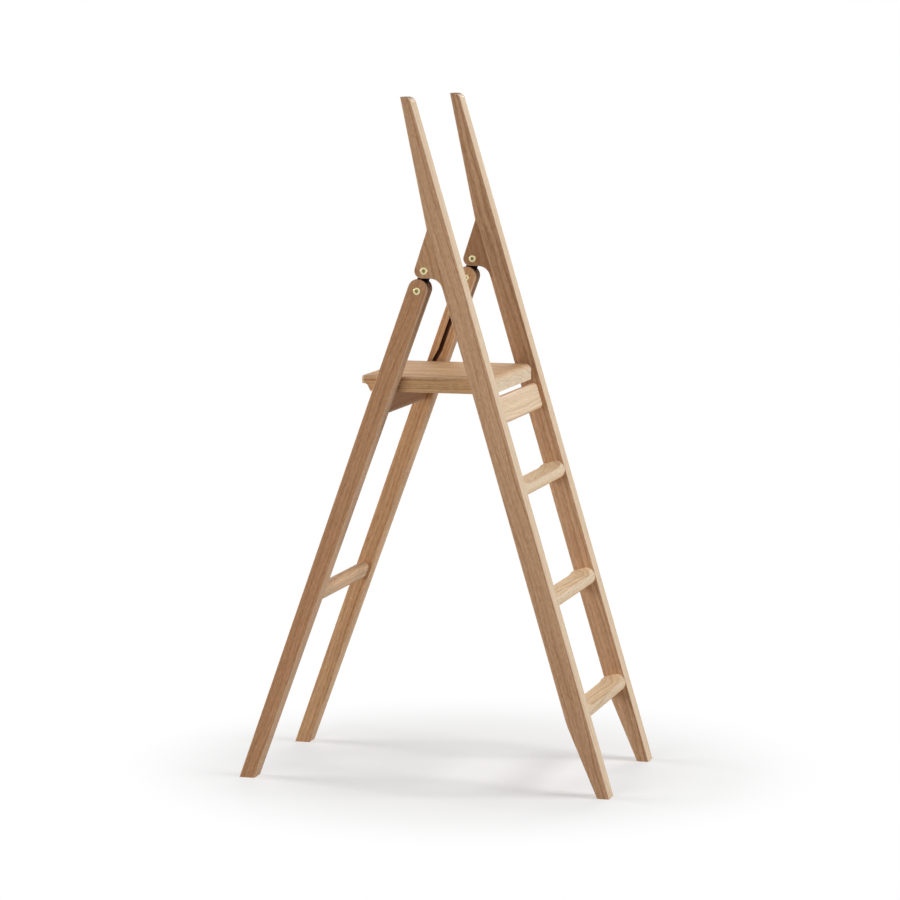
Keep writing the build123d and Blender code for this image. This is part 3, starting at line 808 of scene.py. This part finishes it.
fold_turn = STILE_LEAN + LEG_LEAN
open_y, open_z = round_point(HINGE, SWING_RADIUS, fold_turn)
pencil = Pencil(HINGE[0] - SWING_RADIUS, HINGE[1])
pencil.line(
    (HINGE[0] - SWING_RADIUS, HINGE[1] - PLATE_REACH),
    (open_y + PLATE_REACH * math.sin(fold_turn), open_z - PLATE_REACH * math.cos(fold_turn)),
    (open_y, open_z),
)
pencil.arc(HINGE, 180 - math.degrees(fold_turn))
left_knuckle = mill(left_knuckle, pencil.board(-MIDDLE - SWING_HALF, -MIDDLE + SWING_HALF))
left_knuckle = drilled(left_knuckle, HINGE, BOLT_HOLE, -OUTER - BEYOND, -INNER + BEYOND)
knuckle_place = stile_frame, "front_frame", "knuckle_wood", knuckle_oak
show_pair(left_knuckle, "knuckle", *knuckle_place, grain=ALONG_Z, planks_and_shades=KNUCKLE_SHADES)

# %% [markdown]
# ## Legs
# A leg is a bar that narrows slightly towards the floor, with a half-round top under the knuckle. In
# its inner face runs a slot for the platform's guide pin, with a small sideways jog near its lower
# end, in which the pin drops and locks the ladder open. A second slot, open at the top, holds the
# link plate on a bolt. Both slots are milled after the edges are eased, as in a workshop, so their
# own edges stay sharp.

# %% Legs
LEG_HALF = 23.5
LEG_TAPER = 0.00475
TOP_ABOVE_BOLT = 4.5

leg_top = PLATE_REACH - TOP_ABOVE_BOLT
leg_turn = math.atan(LEG_TAPER)
leg_edge = LEG_HALF / math.cos(leg_turn) + PLATE_REACH * LEG_TAPER
top_radius = (leg_edge - leg_top * LEG_TAPER) * math.cos(leg_turn)
leg_end = HINGE_Z / math.cos(LEG_LEAN) + BEYOND
leg_foot = leg_edge - leg_end * LEG_TAPER
pencil = Pencil(*round_point((0.0, -leg_top), top_radius, -leg_turn))
pencil.arc((0.0, -leg_top), 180 + 2 * math.degrees(leg_turn))
pencil.line((-leg_foot, -leg_end), (leg_foot, -leg_end))
left_leg = pencil.board(-OUTER, -INNER)
saw_level(left_leg, leg_frame, 0.0, 1)


def on_leg_arris(y, z):
    return HINGE_Z + y * math.sin(LEG_LEAN) + z * math.cos(LEG_LEAN) > OFF_FLOOR


ease(left_leg, side_edges(left_leg, on_leg_arris), ARRIS)
print("leg top radius", round(top_radius, 2), "mm")

# %% The slot for the link plate in the leg's top
PLATE_HALF = 3.0
PLATE_RADIUS = 13.5
GLUE_GAP = 0.1
LEG_BOLT = (0.0, -PLATE_REACH)

plate_slot = PLATE_RADIUS + GLUE_GAP
pencil = Pencil(plate_slot, BEYOND)
pencil.line((-plate_slot, BEYOND), (-plate_slot, -PLATE_REACH))
pencil.arc(LEG_BOLT, 180)
left_leg = mill(left_leg, pencil.board(-MIDDLE - PLATE_HALF, -MIDDLE + PLATE_HALF))
left_leg = drilled(left_leg, LEG_BOLT, BOLT_HOLE, -OUTER - BEYOND, -INNER + BEYOND)
print("plate slot", 2 * plate_slot, "mm wide")

# %% The guide slot
SLOT_HALF = 5.15
SLOT_DEPTH = 12.0
SLOT_TOP = -68.9
JOG_TOP = -236.2
JOG_LOW = -262.2
SLOT_END = -284.2
JOG = 5.0
LEG_PALE = (0.0, 0.5)
LEG_PLANKS = (0.2, -0.75)

mitre = SLOT_HALF * math.tan(math.atan2(JOG, JOG_TOP - JOG_LOW) / 2)
pencil = Pencil(SLOT_HALF, SLOT_TOP)
pencil.line((SLOT_HALF, JOG_TOP + mitre), (JOG + SLOT_HALF, JOG_LOW - mitre))
pencil.line((JOG + SLOT_HALF, SLOT_END))
pencil.arc((JOG, SLOT_END), -180)
pencil.line((JOG - SLOT_HALF, JOG_LOW + mitre), (-SLOT_HALF, JOG_TOP - mitre))
pencil.line((-SLOT_HALF, SLOT_TOP))
pencil.arc((0.0, SLOT_TOP), -180)
router = pencil.board(-INNER - SLOT_DEPTH, -INNER + BEYOND)
# The router's faces carry painted shade, which darkens the guide slot's walls once milled.
routed = router.faces.layers.float["routed"]
for face in router.faces:
    face[routed] = 1.0
left_leg = mill(left_leg, router)
leg_place = leg_frame, "rear_frame", "leg_wood", leg_oak
show_pair(left_leg, "leg", *leg_place, grain=ALONG_Z, planks_and_shades=LEG_PLANKS, pale=LEG_PALE)

# %% [markdown]
# ## Steps
# A step is a bar with a full round nose. It leans with the stiles, so a level tread is milled into
# its top, and the cutter stops short of each end and runs out in an arc, which leaves a raised ear
# against the stile. A bisect would cut off the ears as well, so it is milled. The cutter is a block
# with two rounded lower edges, tipped back to level.

# %% A cutter for the treads
TREAD_RISE = 18.6
EAR = 59.0
EAR_RUNOUT = 120.0
CUTTER_WIDTH = 2 * (INNER - EAR + EAR_RUNOUT)
CUTTER_DEPTH = 240.0
CUTTER_HEIGHT = 3 * EAR_RUNOUT


def tread_cutter():
    """A level block whose two lower edges run out in an arc."""
    cutter = bmesh.new()
    mark_faces(cutter)
    size = Matrix.Diagonal((CUTTER_WIDTH, CUTTER_DEPTH, CUTTER_HEIGHT, 1.0))
    raised = Matrix.Translation((0, 0, CUTTER_HEIGHT / 2))
    bmesh.ops.create_cube(cutter, size=1.0, matrix=raised @ size)
    runs = side_edges(cutter, lambda y, z: z < TOUCH)
    bmesh.ops.bevel(
        cutter, geom=runs, offset=EAR_RUNOUT, affect="EDGES", segments=32, profile=0.5, material=-1
    )
    tip = Matrix.Translation((0, STILE_DEPTH, TREAD_RISE)) @ Matrix.Rotation(STILE_LEAN, 4, "X")
    bmesh.ops.transform(cutter, matrix=tip, verts=cutter.verts[:])
    return cutter


print("treads run out over an arc of", EAR_RUNOUT, "mm")

# %% Steps
STEP_HALF = 21.5
NOSE_DEPTH = 23.0
TREAD_EDGE = 2.5
STEP_PALE = (0.3, 1.2)
STEP_PLANK = -0.65
STEP_RUNS = {"lower_step": 205.0, "middle_step": 472.0, "upper_step": 739.0}
SPLINTER = 1e-2


def at_rear_top(y, z):
    return y > STILE_DEPTH - SPLINTER and z > 0


for step_name, run in STEP_RUNS.items():
    pencil = Pencil(STILE_DEPTH, -STEP_HALF)
    pencil.line((NOSE_DEPTH, -STEP_HALF))
    pencil.arc((NOSE_DEPTH, 0.0), -180)
    pencil.line((STILE_DEPTH, STEP_HALF))
    step = mill(pencil.board(-INNER, INNER), tread_cutter())
    ease(step, cross_edges(step, at_rear_top, least=SPLINTER), TREAD_EDGE)
    step_place = stile_frame @ Matrix.Translation((0, 0, run)), "front_frame", "step_wood", step_oak
    show(step, step_name, *step_place, plank=STEP_PLANK, pale=STEP_PALE)

# %% [markdown]
# ## Apron, rail and stretcher
# Three more boards tie the frames together. The apron lies under the platform's front and is rounded
# all round, the rear rail carries the platform's back and is sawn level on top, and the stretcher
# low between the legs has a half-round top and bottom. The half-rounds are arcs in the outline,
# because two bevels that meet in the middle would leave slivers.

# %% Apron
APRON_MIDDLE = (23.75, 923.35)
APRON_HALF = (12.25, 32.25)
APRON_ROUND = 12.0


def square_board(middle, half):
    """A square-edged board between the two bars of a frame."""
    (y, z), (deep, high) = middle, half
    pencil = Pencil(y - deep, z - high)
    pencil.line((y + deep, z - high), (y + deep, z + high), (y - deep, z + high))
    return pencil.board(-INNER, INNER)


apron = square_board(APRON_MIDDLE, APRON_HALF)
ease(apron, cross_edges(apron), APRON_ROUND, segments=8)
show(apron, "front_apron", stile_frame, "front_frame", "board_wood", board_oak)

# %% Rear rail
RAIL_FACE = -6.3
RAIL_HALF = (12.0, 32.0)
RAIL_TOP = 919.4
RAIL_ROUND = 8.5
# The rail is made browner as painted shade, for its place under the platform.
RAIL_SHADE = 1.0
NO_PALE = (0.0, 0.0)

rail_run = (HINGE_Z + RAIL_FACE * math.sin(LEG_LEAN) - RAIL_TOP) / math.cos(LEG_LEAN)
rail_middle = (RAIL_FACE + RAIL_HALF[0], -rail_run - RAIL_HALF[1])
rail = square_board(rail_middle, RAIL_HALF)
ease(rail, cross_edges(rail, lambda y, z: z < rail_middle[1]), RAIL_ROUND, segments=6)
saw_level(rail, leg_frame, RAIL_TOP, -1)
rear_board = leg_frame, "rear_frame", "board_wood", board_oak
show(rail, "rear_rail", *rear_board, plank=RAIL_SHADE, pale=NO_PALE)

# %% Rear stretcher
STRETCHER_RUN = -815.0
STRETCHER_MIDDLE = 0.7
STRETCHER_RADIUS = 12.5
STRETCHER_REACH = 8.5
STRETCHER_PALE = (0.3, 0.6)

lower, upper = STRETCHER_RUN - STRETCHER_REACH, STRETCHER_RUN + STRETCHER_REACH
pencil = Pencil(STRETCHER_MIDDLE + STRETCHER_RADIUS, lower)
pencil.arc((STRETCHER_MIDDLE, lower), -180)
pencil.line((STRETCHER_MIDDLE - STRETCHER_RADIUS, upper))
pencil.arc((STRETCHER_MIDDLE, upper), -180)
stretcher = pencil.board(-INNER, INNER)
show(stretcher, "rear_stretcher", *rear_board, pale=STRETCHER_PALE)

# %% [markdown]
# ## Platform
# The platform is a thick board with a large round on its upper front edge, a smaller one along its
# other top edges and down its front corners, and rounded rear corners. Its underside is cut back at
# the rear into a lip for the fingers. The side view is drawn with the large round and given its
# width, then the rear corners and the top edges are eased in that order, because each easing runs
# over the one before.

# %% Side view of the platform
PLATFORM_SIDE = 182.7
PLATFORM_FRONT = -155.856
PLATFORM_REAR = 159.344
PLATFORM_TOP = 956.7
PLATFORM_UNDER = 919.7
LIP_THICK = 19.0
LIP_LENGTH = 13.5
GRIP_LENGTH = 22.5
FRONT_ROUND = 15.0

lip_under = PLATFORM_TOP - LIP_THICK
cove = (PLATFORM_REAR - LIP_LENGTH, lip_under)
front_centre = (PLATFORM_FRONT + FRONT_ROUND, PLATFORM_TOP - FRONT_ROUND)
pencil = Pencil(PLATFORM_FRONT, PLATFORM_UNDER)
pencil.line(
    (PLATFORM_REAR - GRIP_LENGTH, PLATFORM_UNDER),
    cove,
    (PLATFORM_REAR, lip_under),
    (PLATFORM_REAR, PLATFORM_TOP),
    (front_centre[0], PLATFORM_TOP),
)
pencil.arc(front_centre, 90)
platform = pencil.board(-PLATFORM_SIDE, PLATFORM_SIDE)
print("platform", round(PLATFORM_REAR - PLATFORM_FRONT, 1), "mm deep")

# %% Eased edges of the platform
PLATFORM_CORNER = 10.0
TOP_ROUND = 6.0
COVE_REACH = 4.9


def in_cove(y, z):
    return math.hypot(y - cove[0], z - cove[1]) < NEAR


def on_front_end(y, z):
    return y < front_centre[0] and z > PLATFORM_UNDER + NEAR


ease(platform, cross_edges(platform, in_cove), COVE_REACH, segments=6)
rear_corners = side_edges(platform, lambda y, z: abs(y - PLATFORM_REAR) < SLIGHT)
ease(platform, rear_corners, PLATFORM_CORNER, segments=8)
top_face = max(platform.faces, key=lambda face: face.calc_center_median().z)
front_line = cross_edges(platform, lambda y, z: y < front_centre[0] + NEAR)
top_edges = [edge for edge in top_face.edges if edge not in front_line]
ease(platform, top_edges + side_edges(platform, on_front_end), TOP_ROUND, segments=6)
print("platform eased to", len(platform.faces), "faces")

# %% Holes for the pivot bushes and the guide sockets
PIVOT = (-137.155868, 938.2)
SEAT = (92.449978, 938.2)
BUSH_RADIUS = 6.0
BUSH_LENGTH = 24.0
SOCKET_RADIUS = 5.0
SOCKET_LENGTH = 18.0
HOLE_PLAY = 0.05
PLATFORM_PALE = (0.0, 1.25)
SIDES = (("left", -1), ("right", 1))

bush_hole, socket_hole = (PIVOT, BUSH_RADIUS, BUSH_LENGTH), (SEAT, SOCKET_RADIUS, SOCKET_LENGTH)
for hole, radius, depth in (bush_hole, socket_hole):
    for _, hand in SIDES:
        ends = hand * (PLATFORM_SIDE - depth), hand * (PLATFORM_SIDE + BEYOND)
        platform = drilled(platform, hole, radius + HOLE_PLAY, *ends)
platform_place = level_frame, "platform_board", "platform_wood", platform_oak
show(platform, "platform", *platform_place, pale=PLATFORM_PALE)

# %% [markdown]
# ## Link plates
# A flat black steel plate with round ends hangs in the knuckle's slot on one bolt, and is let into
# the leg's round top with the other. Only a short black neck of it shows between the two timbers,
# but it is drawn whole, because both slots are cut to fit its outline.

# %% Link plates
PLATE_EDGE = 0.6
HINGE_BOLT = (0.0, 0.0)

pencil = Pencil(PLATE_RADIUS, 0.0)
pencil.arc(HINGE_BOLT, 180)
pencil.line((-PLATE_RADIUS, -PLATE_REACH))
pencil.arc(LEG_BOLT, 180)
left_plate = pencil.board(-MIDDLE - PLATE_HALF, -MIDDLE + PLATE_HALF)
ease(left_plate, side_edges(left_plate), PLATE_EDGE, segments=2)
for hole in (HINGE_BOLT, LEG_BOLT):
    left_plate = drilled(left_plate, hole, BOLT_HOLE, -MIDDLE - BEYOND, -MIDDLE + BEYOND)
show_pair(left_plate, "link_plate", leg_frame, "rear_frame", "black_plate", black_steel)

# %% [markdown]
# ## Turned brass and steel
# The bolts, bushes, sockets and pins are turned on a lathe. Spinning half of a section round its
# axis is the same job, and the doubled points on the axis are merged afterwards. A bolt's head also
# has a hexagon socket: the open ring in the middle of the head is bridged to a circle of six
# corners, and that is pushed down into the head.

# %% A lathe
TURNED_STEPS = 48
QUARTER_TURN = math.radians(90)


def turned(*section):
    """Spins half of a section, given as radius and height, round the Z axis."""
    pencil = Pencil(*section[0])
    pencil.line(*section[1:])
    lathe = pencil.sheet
    bmesh.ops.spin(
        lathe,
        geom=lathe.verts[:] + lathe.edges[:],
        cent=(0, 0, 0),
        axis=(0, 0, 1),
        angle=2 * math.pi,
        steps=TURNED_STEPS,
        use_merge=True,
    )
    bmesh.ops.remove_doubles(lathe, verts=lathe.verts[:], dist=MERGE)
    turn_outwards(lathe)
    return lathe


def side_frame(bar_frame, hand, x, y, z):
    """A frame on a side face of the ladder, whose Z looks outwards to that hand."""
    outwards = Matrix.Rotation(hand * QUARTER_TURN, 4, "Y")
    return bar_frame @ Matrix.Translation((x, y, z)) @ outwards


print("turned in", TURNED_STEPS, "steps")

# %% A bolt
HEAD_RADIUS = 8.5
HEAD_THICK = 2.2
HEAD_EDGE = 0.9
SINK_RADIUS = 4.3
SINK_FLOOR = 3.3
SINK_DEPTH = 0.7
HEX_CORNER = 2.887
HEX_DEPTH = 3.0
SLEEVE_RADIUS = 4.5
SLEEVE_BORE = 3.05
SLEEVE_SOLID = 8.0
SCREW_RADIUS = 3.0


def bolt(shank, length):
    """A low round bolt with a countersunk hexagon socket; a sleeve's shank is bored."""
    sink = HEAD_THICK - SINK_DEPTH
    tail = [(0.0, -length)]
    if shank == SLEEVE_RADIUS:
        tail = [(SLEEVE_BORE, -length), (SLEEVE_BORE, -SLEEVE_SOLID), (0.0, -SLEEVE_SOLID)]
    top = (SINK_FLOOR, sink), (SINK_RADIUS, HEAD_THICK), (HEAD_RADIUS, HEAD_THICK)
    made = turned(*top, (HEAD_RADIUS, 0.0), (shank, 0.0), (shank, -length), *tail)
    ring = [edge for edge in made.edges if edge.is_boundary]
    hexagon = bmesh.ops.create_circle(
        made, segments=6, radius=HEX_CORNER, matrix=Matrix.Translation((0, 0, sink))
    )["verts"]
    corner_edges = list({edge for vert in hexagon for edge in vert.link_edges})
    bmesh.ops.bridge_loops(made, edges=ring + corner_edges)
    sunk = bmesh.ops.extrude_edge_only(made, edges=corner_edges)["geom"]
    lowered = only(bmesh.types.BMVert, sunk)
    bmesh.ops.translate(made, vec=(0, 0, SINK_DEPTH - HEX_DEPTH), verts=lowered)
    bmesh.ops.edgeloop_fill(made, edges=[edge for edge in made.edges if edge.is_boundary])
    turn_outwards(made)
    return made


print("bolt heads", 2 * HEAD_RADIUS, "mm across")

# %% Rounded bolts with tarnishing and painted shade in their places
# A head's side takes the olive partly as tarnishing and partly as painted contact shade.
RIM_TARNISH_AND_SHADE = 0.7
BOLTS = (("hinge", 0.0, "front_frame"), ("leg", -PLATE_REACH, "rear_frame"))


def finish_head(made):
    """Rounds the rim of a bolt's head, marks where its brass is tarnished, and paints shade round its
    side.
    """

    def at_rim(vert):
        return vert.co.z > HEAD_THICK - TOUCH and vert.co.xy.length > HEAD_RADIUS - TOUCH

    rim = [edge for edge in made.edges if all(at_rim(vert) for vert in edge.verts)]
    ease(made, rim, HEAD_EDGE, segments=3)
    tarnish = made.faces.layers.float["tarnish"]
    for face in made.faces:
        centre = face.calc_center_median()
        if centre.xy.length < SINK_RADIUS and centre.z > -HEAD_THICK:
            face[tarnish] = 1.0
        elif centre.xy.length > HEAD_RADIUS - SLIGHT:
            face[tarnish] = RIM_TARNISH_AND_SHADE
    return made


for side, hand in SIDES:
    for place, height, body in BOLTS:
        nut = f"{side}_{place}_sleeve_nut", SLEEVE_RADIUS, OUTER, hand
        screw = f"{side}_{place}_screw", SCREW_RADIUS, INNER, -hand
        for node, shank, face, outward in (nut, screw):
            low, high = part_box(node)
            length = (high.x - low.x) / MM - HEAD_THICK
            there = side_frame(leg_frame, outward, hand * face, 0.0, height)
            show(finish_head(bolt(shank, length)), node, there, body, "brass", brass)

# %% Sections of the pins, bushes and sockets
EDGE_BREAK = 0.4
PIVOT_PIN = 4.0
GUIDE_PIN = 2.4
BUSH_BORE = 4.05
FLANGE_RADIUS = 9.0
FLANGE_THICK = 2.0
SOCKET_BORE = 2.45
SOCKET_DEPTH = 14.0


def pin(radius, length):
    """A plain pin with broken edges, from height zero down."""
    neck = radius - EDGE_BREAK
    upper = (0.0, 0.0), (neck, 0.0), (radius, -EDGE_BREAK)
    lower = (radius, EDGE_BREAK - length), (neck, -length), (0.0, -length)
    return turned(*upper, *lower)


def bush():
    """A sleeve for the pivot pin, whose flange spaces the platform from the stile."""
    mouth = (BUSH_BORE, FLANGE_THICK)
    brim = FLANGE_RADIUS - EDGE_BREAK, FLANGE_THICK
    rim = (FLANGE_RADIUS, FLANGE_THICK - EDGE_BREAK), (FLANGE_RADIUS, 0.0)
    sleeve = (BUSH_RADIUS, 0.0), (BUSH_RADIUS, -BUSH_LENGTH), (BUSH_BORE, -BUSH_LENGTH)
    return turned(mouth, brim, *rim, *sleeve, mouth)


def socket():
    """A blind sleeve in the platform's side, in line with the guide pin."""
    bore = (0.0, -SOCKET_DEPTH), (SOCKET_BORE, -SOCKET_DEPTH), (SOCKET_BORE, -EDGE_BREAK)
    face = (SOCKET_BORE + EDGE_BREAK, 0.0), (SOCKET_RADIUS, 0.0)
    return turned(*bore, *face, (SOCKET_RADIUS, -SOCKET_LENGTH), (0.0, -SOCKET_LENGTH))


print("edges broken by", EDGE_BREAK, "mm")

# %% Pins, bushes and sockets in their places
for side, hand in SIDES:
    for node, hole, radius, body in (
        (f"{side}_pivot_pin", PIVOT, PIVOT_PIN, "front_frame"),
        (f"{side}_guide_pin", SEAT, GUIDE_PIN, "guide_pins"),
    ):
        low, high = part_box(node)
        outer_end = max(abs(low.x), abs(high.x)) / MM
        there = side_frame(level_frame, hand, hand * outer_end, *hole)
        show(pin(radius, (high.x - low.x) / MM), node, there, body, "steel", bright_steel)
    for made, node, hole in (
        (bush(), f"{side}_pivot_bush", PIVOT),
        (socket(), f"{side}_guide_socket", SEAT),
    ):
        there = side_frame(level_frame, hand, hand * PLATFORM_SIDE, *hole)
        show(made, node, there, "platform_board", "brass", brass)

# %% [markdown]
# ## Floor and white surroundings
# The photograph has a white room whose floor keeps the ladder's shadow. The floor is real, and
# further out it fades to plain white for the camera, so that it meets the background without a
# line. The light that it throws back onto the ladder comes from a darker grey, because an endless
# white floor would lift every shadow. The background is white where it is seen or mirrored, and
# dim for all other light, so that the lamps shape the ladder.

# %% Floor
FLOOR_HALF = 30.0
FLOOR_MIDDLE = (0.05, -0.05, 0.0)
FADE_START, FADE_END = 0.3, 0.88
FADE_LEAST = 0.32
FLOOR_SEEN = (0.90, 0.90, 0.90, 1.0)
FLOOR_BOUNCE = (0.42, 0.42, 0.42, 1.0)
WHITE = (1.0, 1.0, 1.0, 1.0)
PLAIN_RAYS = ("Is Camera Ray", "Is Glossy Ray", "Is Transmission Ray")

floor_sheet = bmesh.new()
bmesh.ops.create_grid(floor_sheet, x_segments=1, y_segments=1, size=FLOOR_HALF)
floor = as_object(floor_sheet, "floor")

paper = Finish(bpy.data.materials.new("white_paper"))
spot = paper.node("TexCoord", output="Object")
ends = {0: spot, 1: FLOOR_MIDDLE}
reach = paper.node("VectorMath", {"operation": "DISTANCE"}, ends, output="Value")
limits = {"From Min": FADE_START, "From Max": FADE_END, "To Min": FADE_LEAST, "To Max": 1.0}
curve = {"interpolation_type": "SMOOTHSTEP", "clamp": True}
fade = paper.node("MapRange", curve, {"Value": reach, **limits})
seen = paper.node("LightPath", output=PLAIN_RAYS[0])
mirrors = sum(paper.node("LightPath", output=ray) for ray in PLAIN_RAYS[1:])
dull = paper.node("BsdfDiffuse", {}, {"Color": FLOOR_BOUNCE})
bright = paper.node("BsdfDiffuse", {}, {"Color": FLOOR_SEEN})
sheet = paper.node("MixShader", {}, {"Fac": seen, 1: dull, 2: bright})
glow = paper.node("Emission", {}, {"Color": WHITE, "Strength": 1.0})
whiteness = fade * seen + (fade - FADE_LEAST) * mirrors
blank = paper.node("MixShader", {}, {"Fac": whiteness, 1: sheet, 2: glow})
paper.node("OutputMaterial", {}, {"Surface": blank})
floor.data.materials.append(paper.owner)
print("floor", FLOOR_HALF * 2, "m wide")

# %% White surroundings
AMBIENT = 0.03

room = bpy.data.worlds.new("white_room")
bpy.context.scene.world = room
surroundings = Finish(room)
plainly = sum(surroundings.node("LightPath", output=ray) for ray in PLAIN_RAYS)
dim, plain = (
    surroundings.node("Background", {}, {"Color": WHITE, "Strength": strength})
    for strength in (AMBIENT, 1.0)
)
backdrop = surroundings.node("MixShader", {}, {"Fac": plainly, 1: dim, 2: plain})
surroundings.node("OutputWorld", {}, {"Surface": backdrop})
print("surroundings at", AMBIENT)

# %% [markdown]
# ## Soft lamps
# The light comes softly from the ladder's front and rear, so the side towards the camera is the
# darkest. Large rectangles far away give that, since a lamp's size makes its shadow soft. A weaker
# pair at the left and right fills in. The left one stands on the camera's side and would put a
# bright square on every bolt's head, so it isn't mirrored.

# %% Soft lamps
WIDE, SMALL, LOW = (3.4, 2.2), (2.6, 2.2), (2.6, 1.5)
# Each lamp has a name, a place, an aim, a size, a power in watts, and is mirrored or not.
LAMPS = (
    ("front_lamp", (0.0, -6.68, 1.78), (0.0, 0.0, 0.65), WIDE, 284.0, True),
    ("upper_front_lamp", (0.0, -4.77, 5.57), LADDER_MIDDLE, WIDE, 166.0, True),
    ("rear_lamp", (0.0, 6.35, 3.11), LADDER_MIDDLE, WIDE, 259.0, True),
    ("left_lamp", (-4.45, 1.2, 0.85), (0.0, 0.0, 0.5), LOW, 80.0, False),
    ("right_lamp", (3.9, 0.0, 3.05), LADDER_MIDDLE, SMALL, 66.0, True),
)

for name, place, aim, size, power, is_mirrored in LAMPS:
    lamp = bpy.data.lights.new(name, "AREA")
    lamp.shape = "RECTANGLE"
    lamp.size, lamp.size_y = size
    lamp.energy = power
    lamp_object = aimed(name, lamp, place, Vector(aim) - Vector(place))
    lamp_object.visible_glossy = is_mirrored
bpy.context.scene.view_settings.view_transform = "Standard"
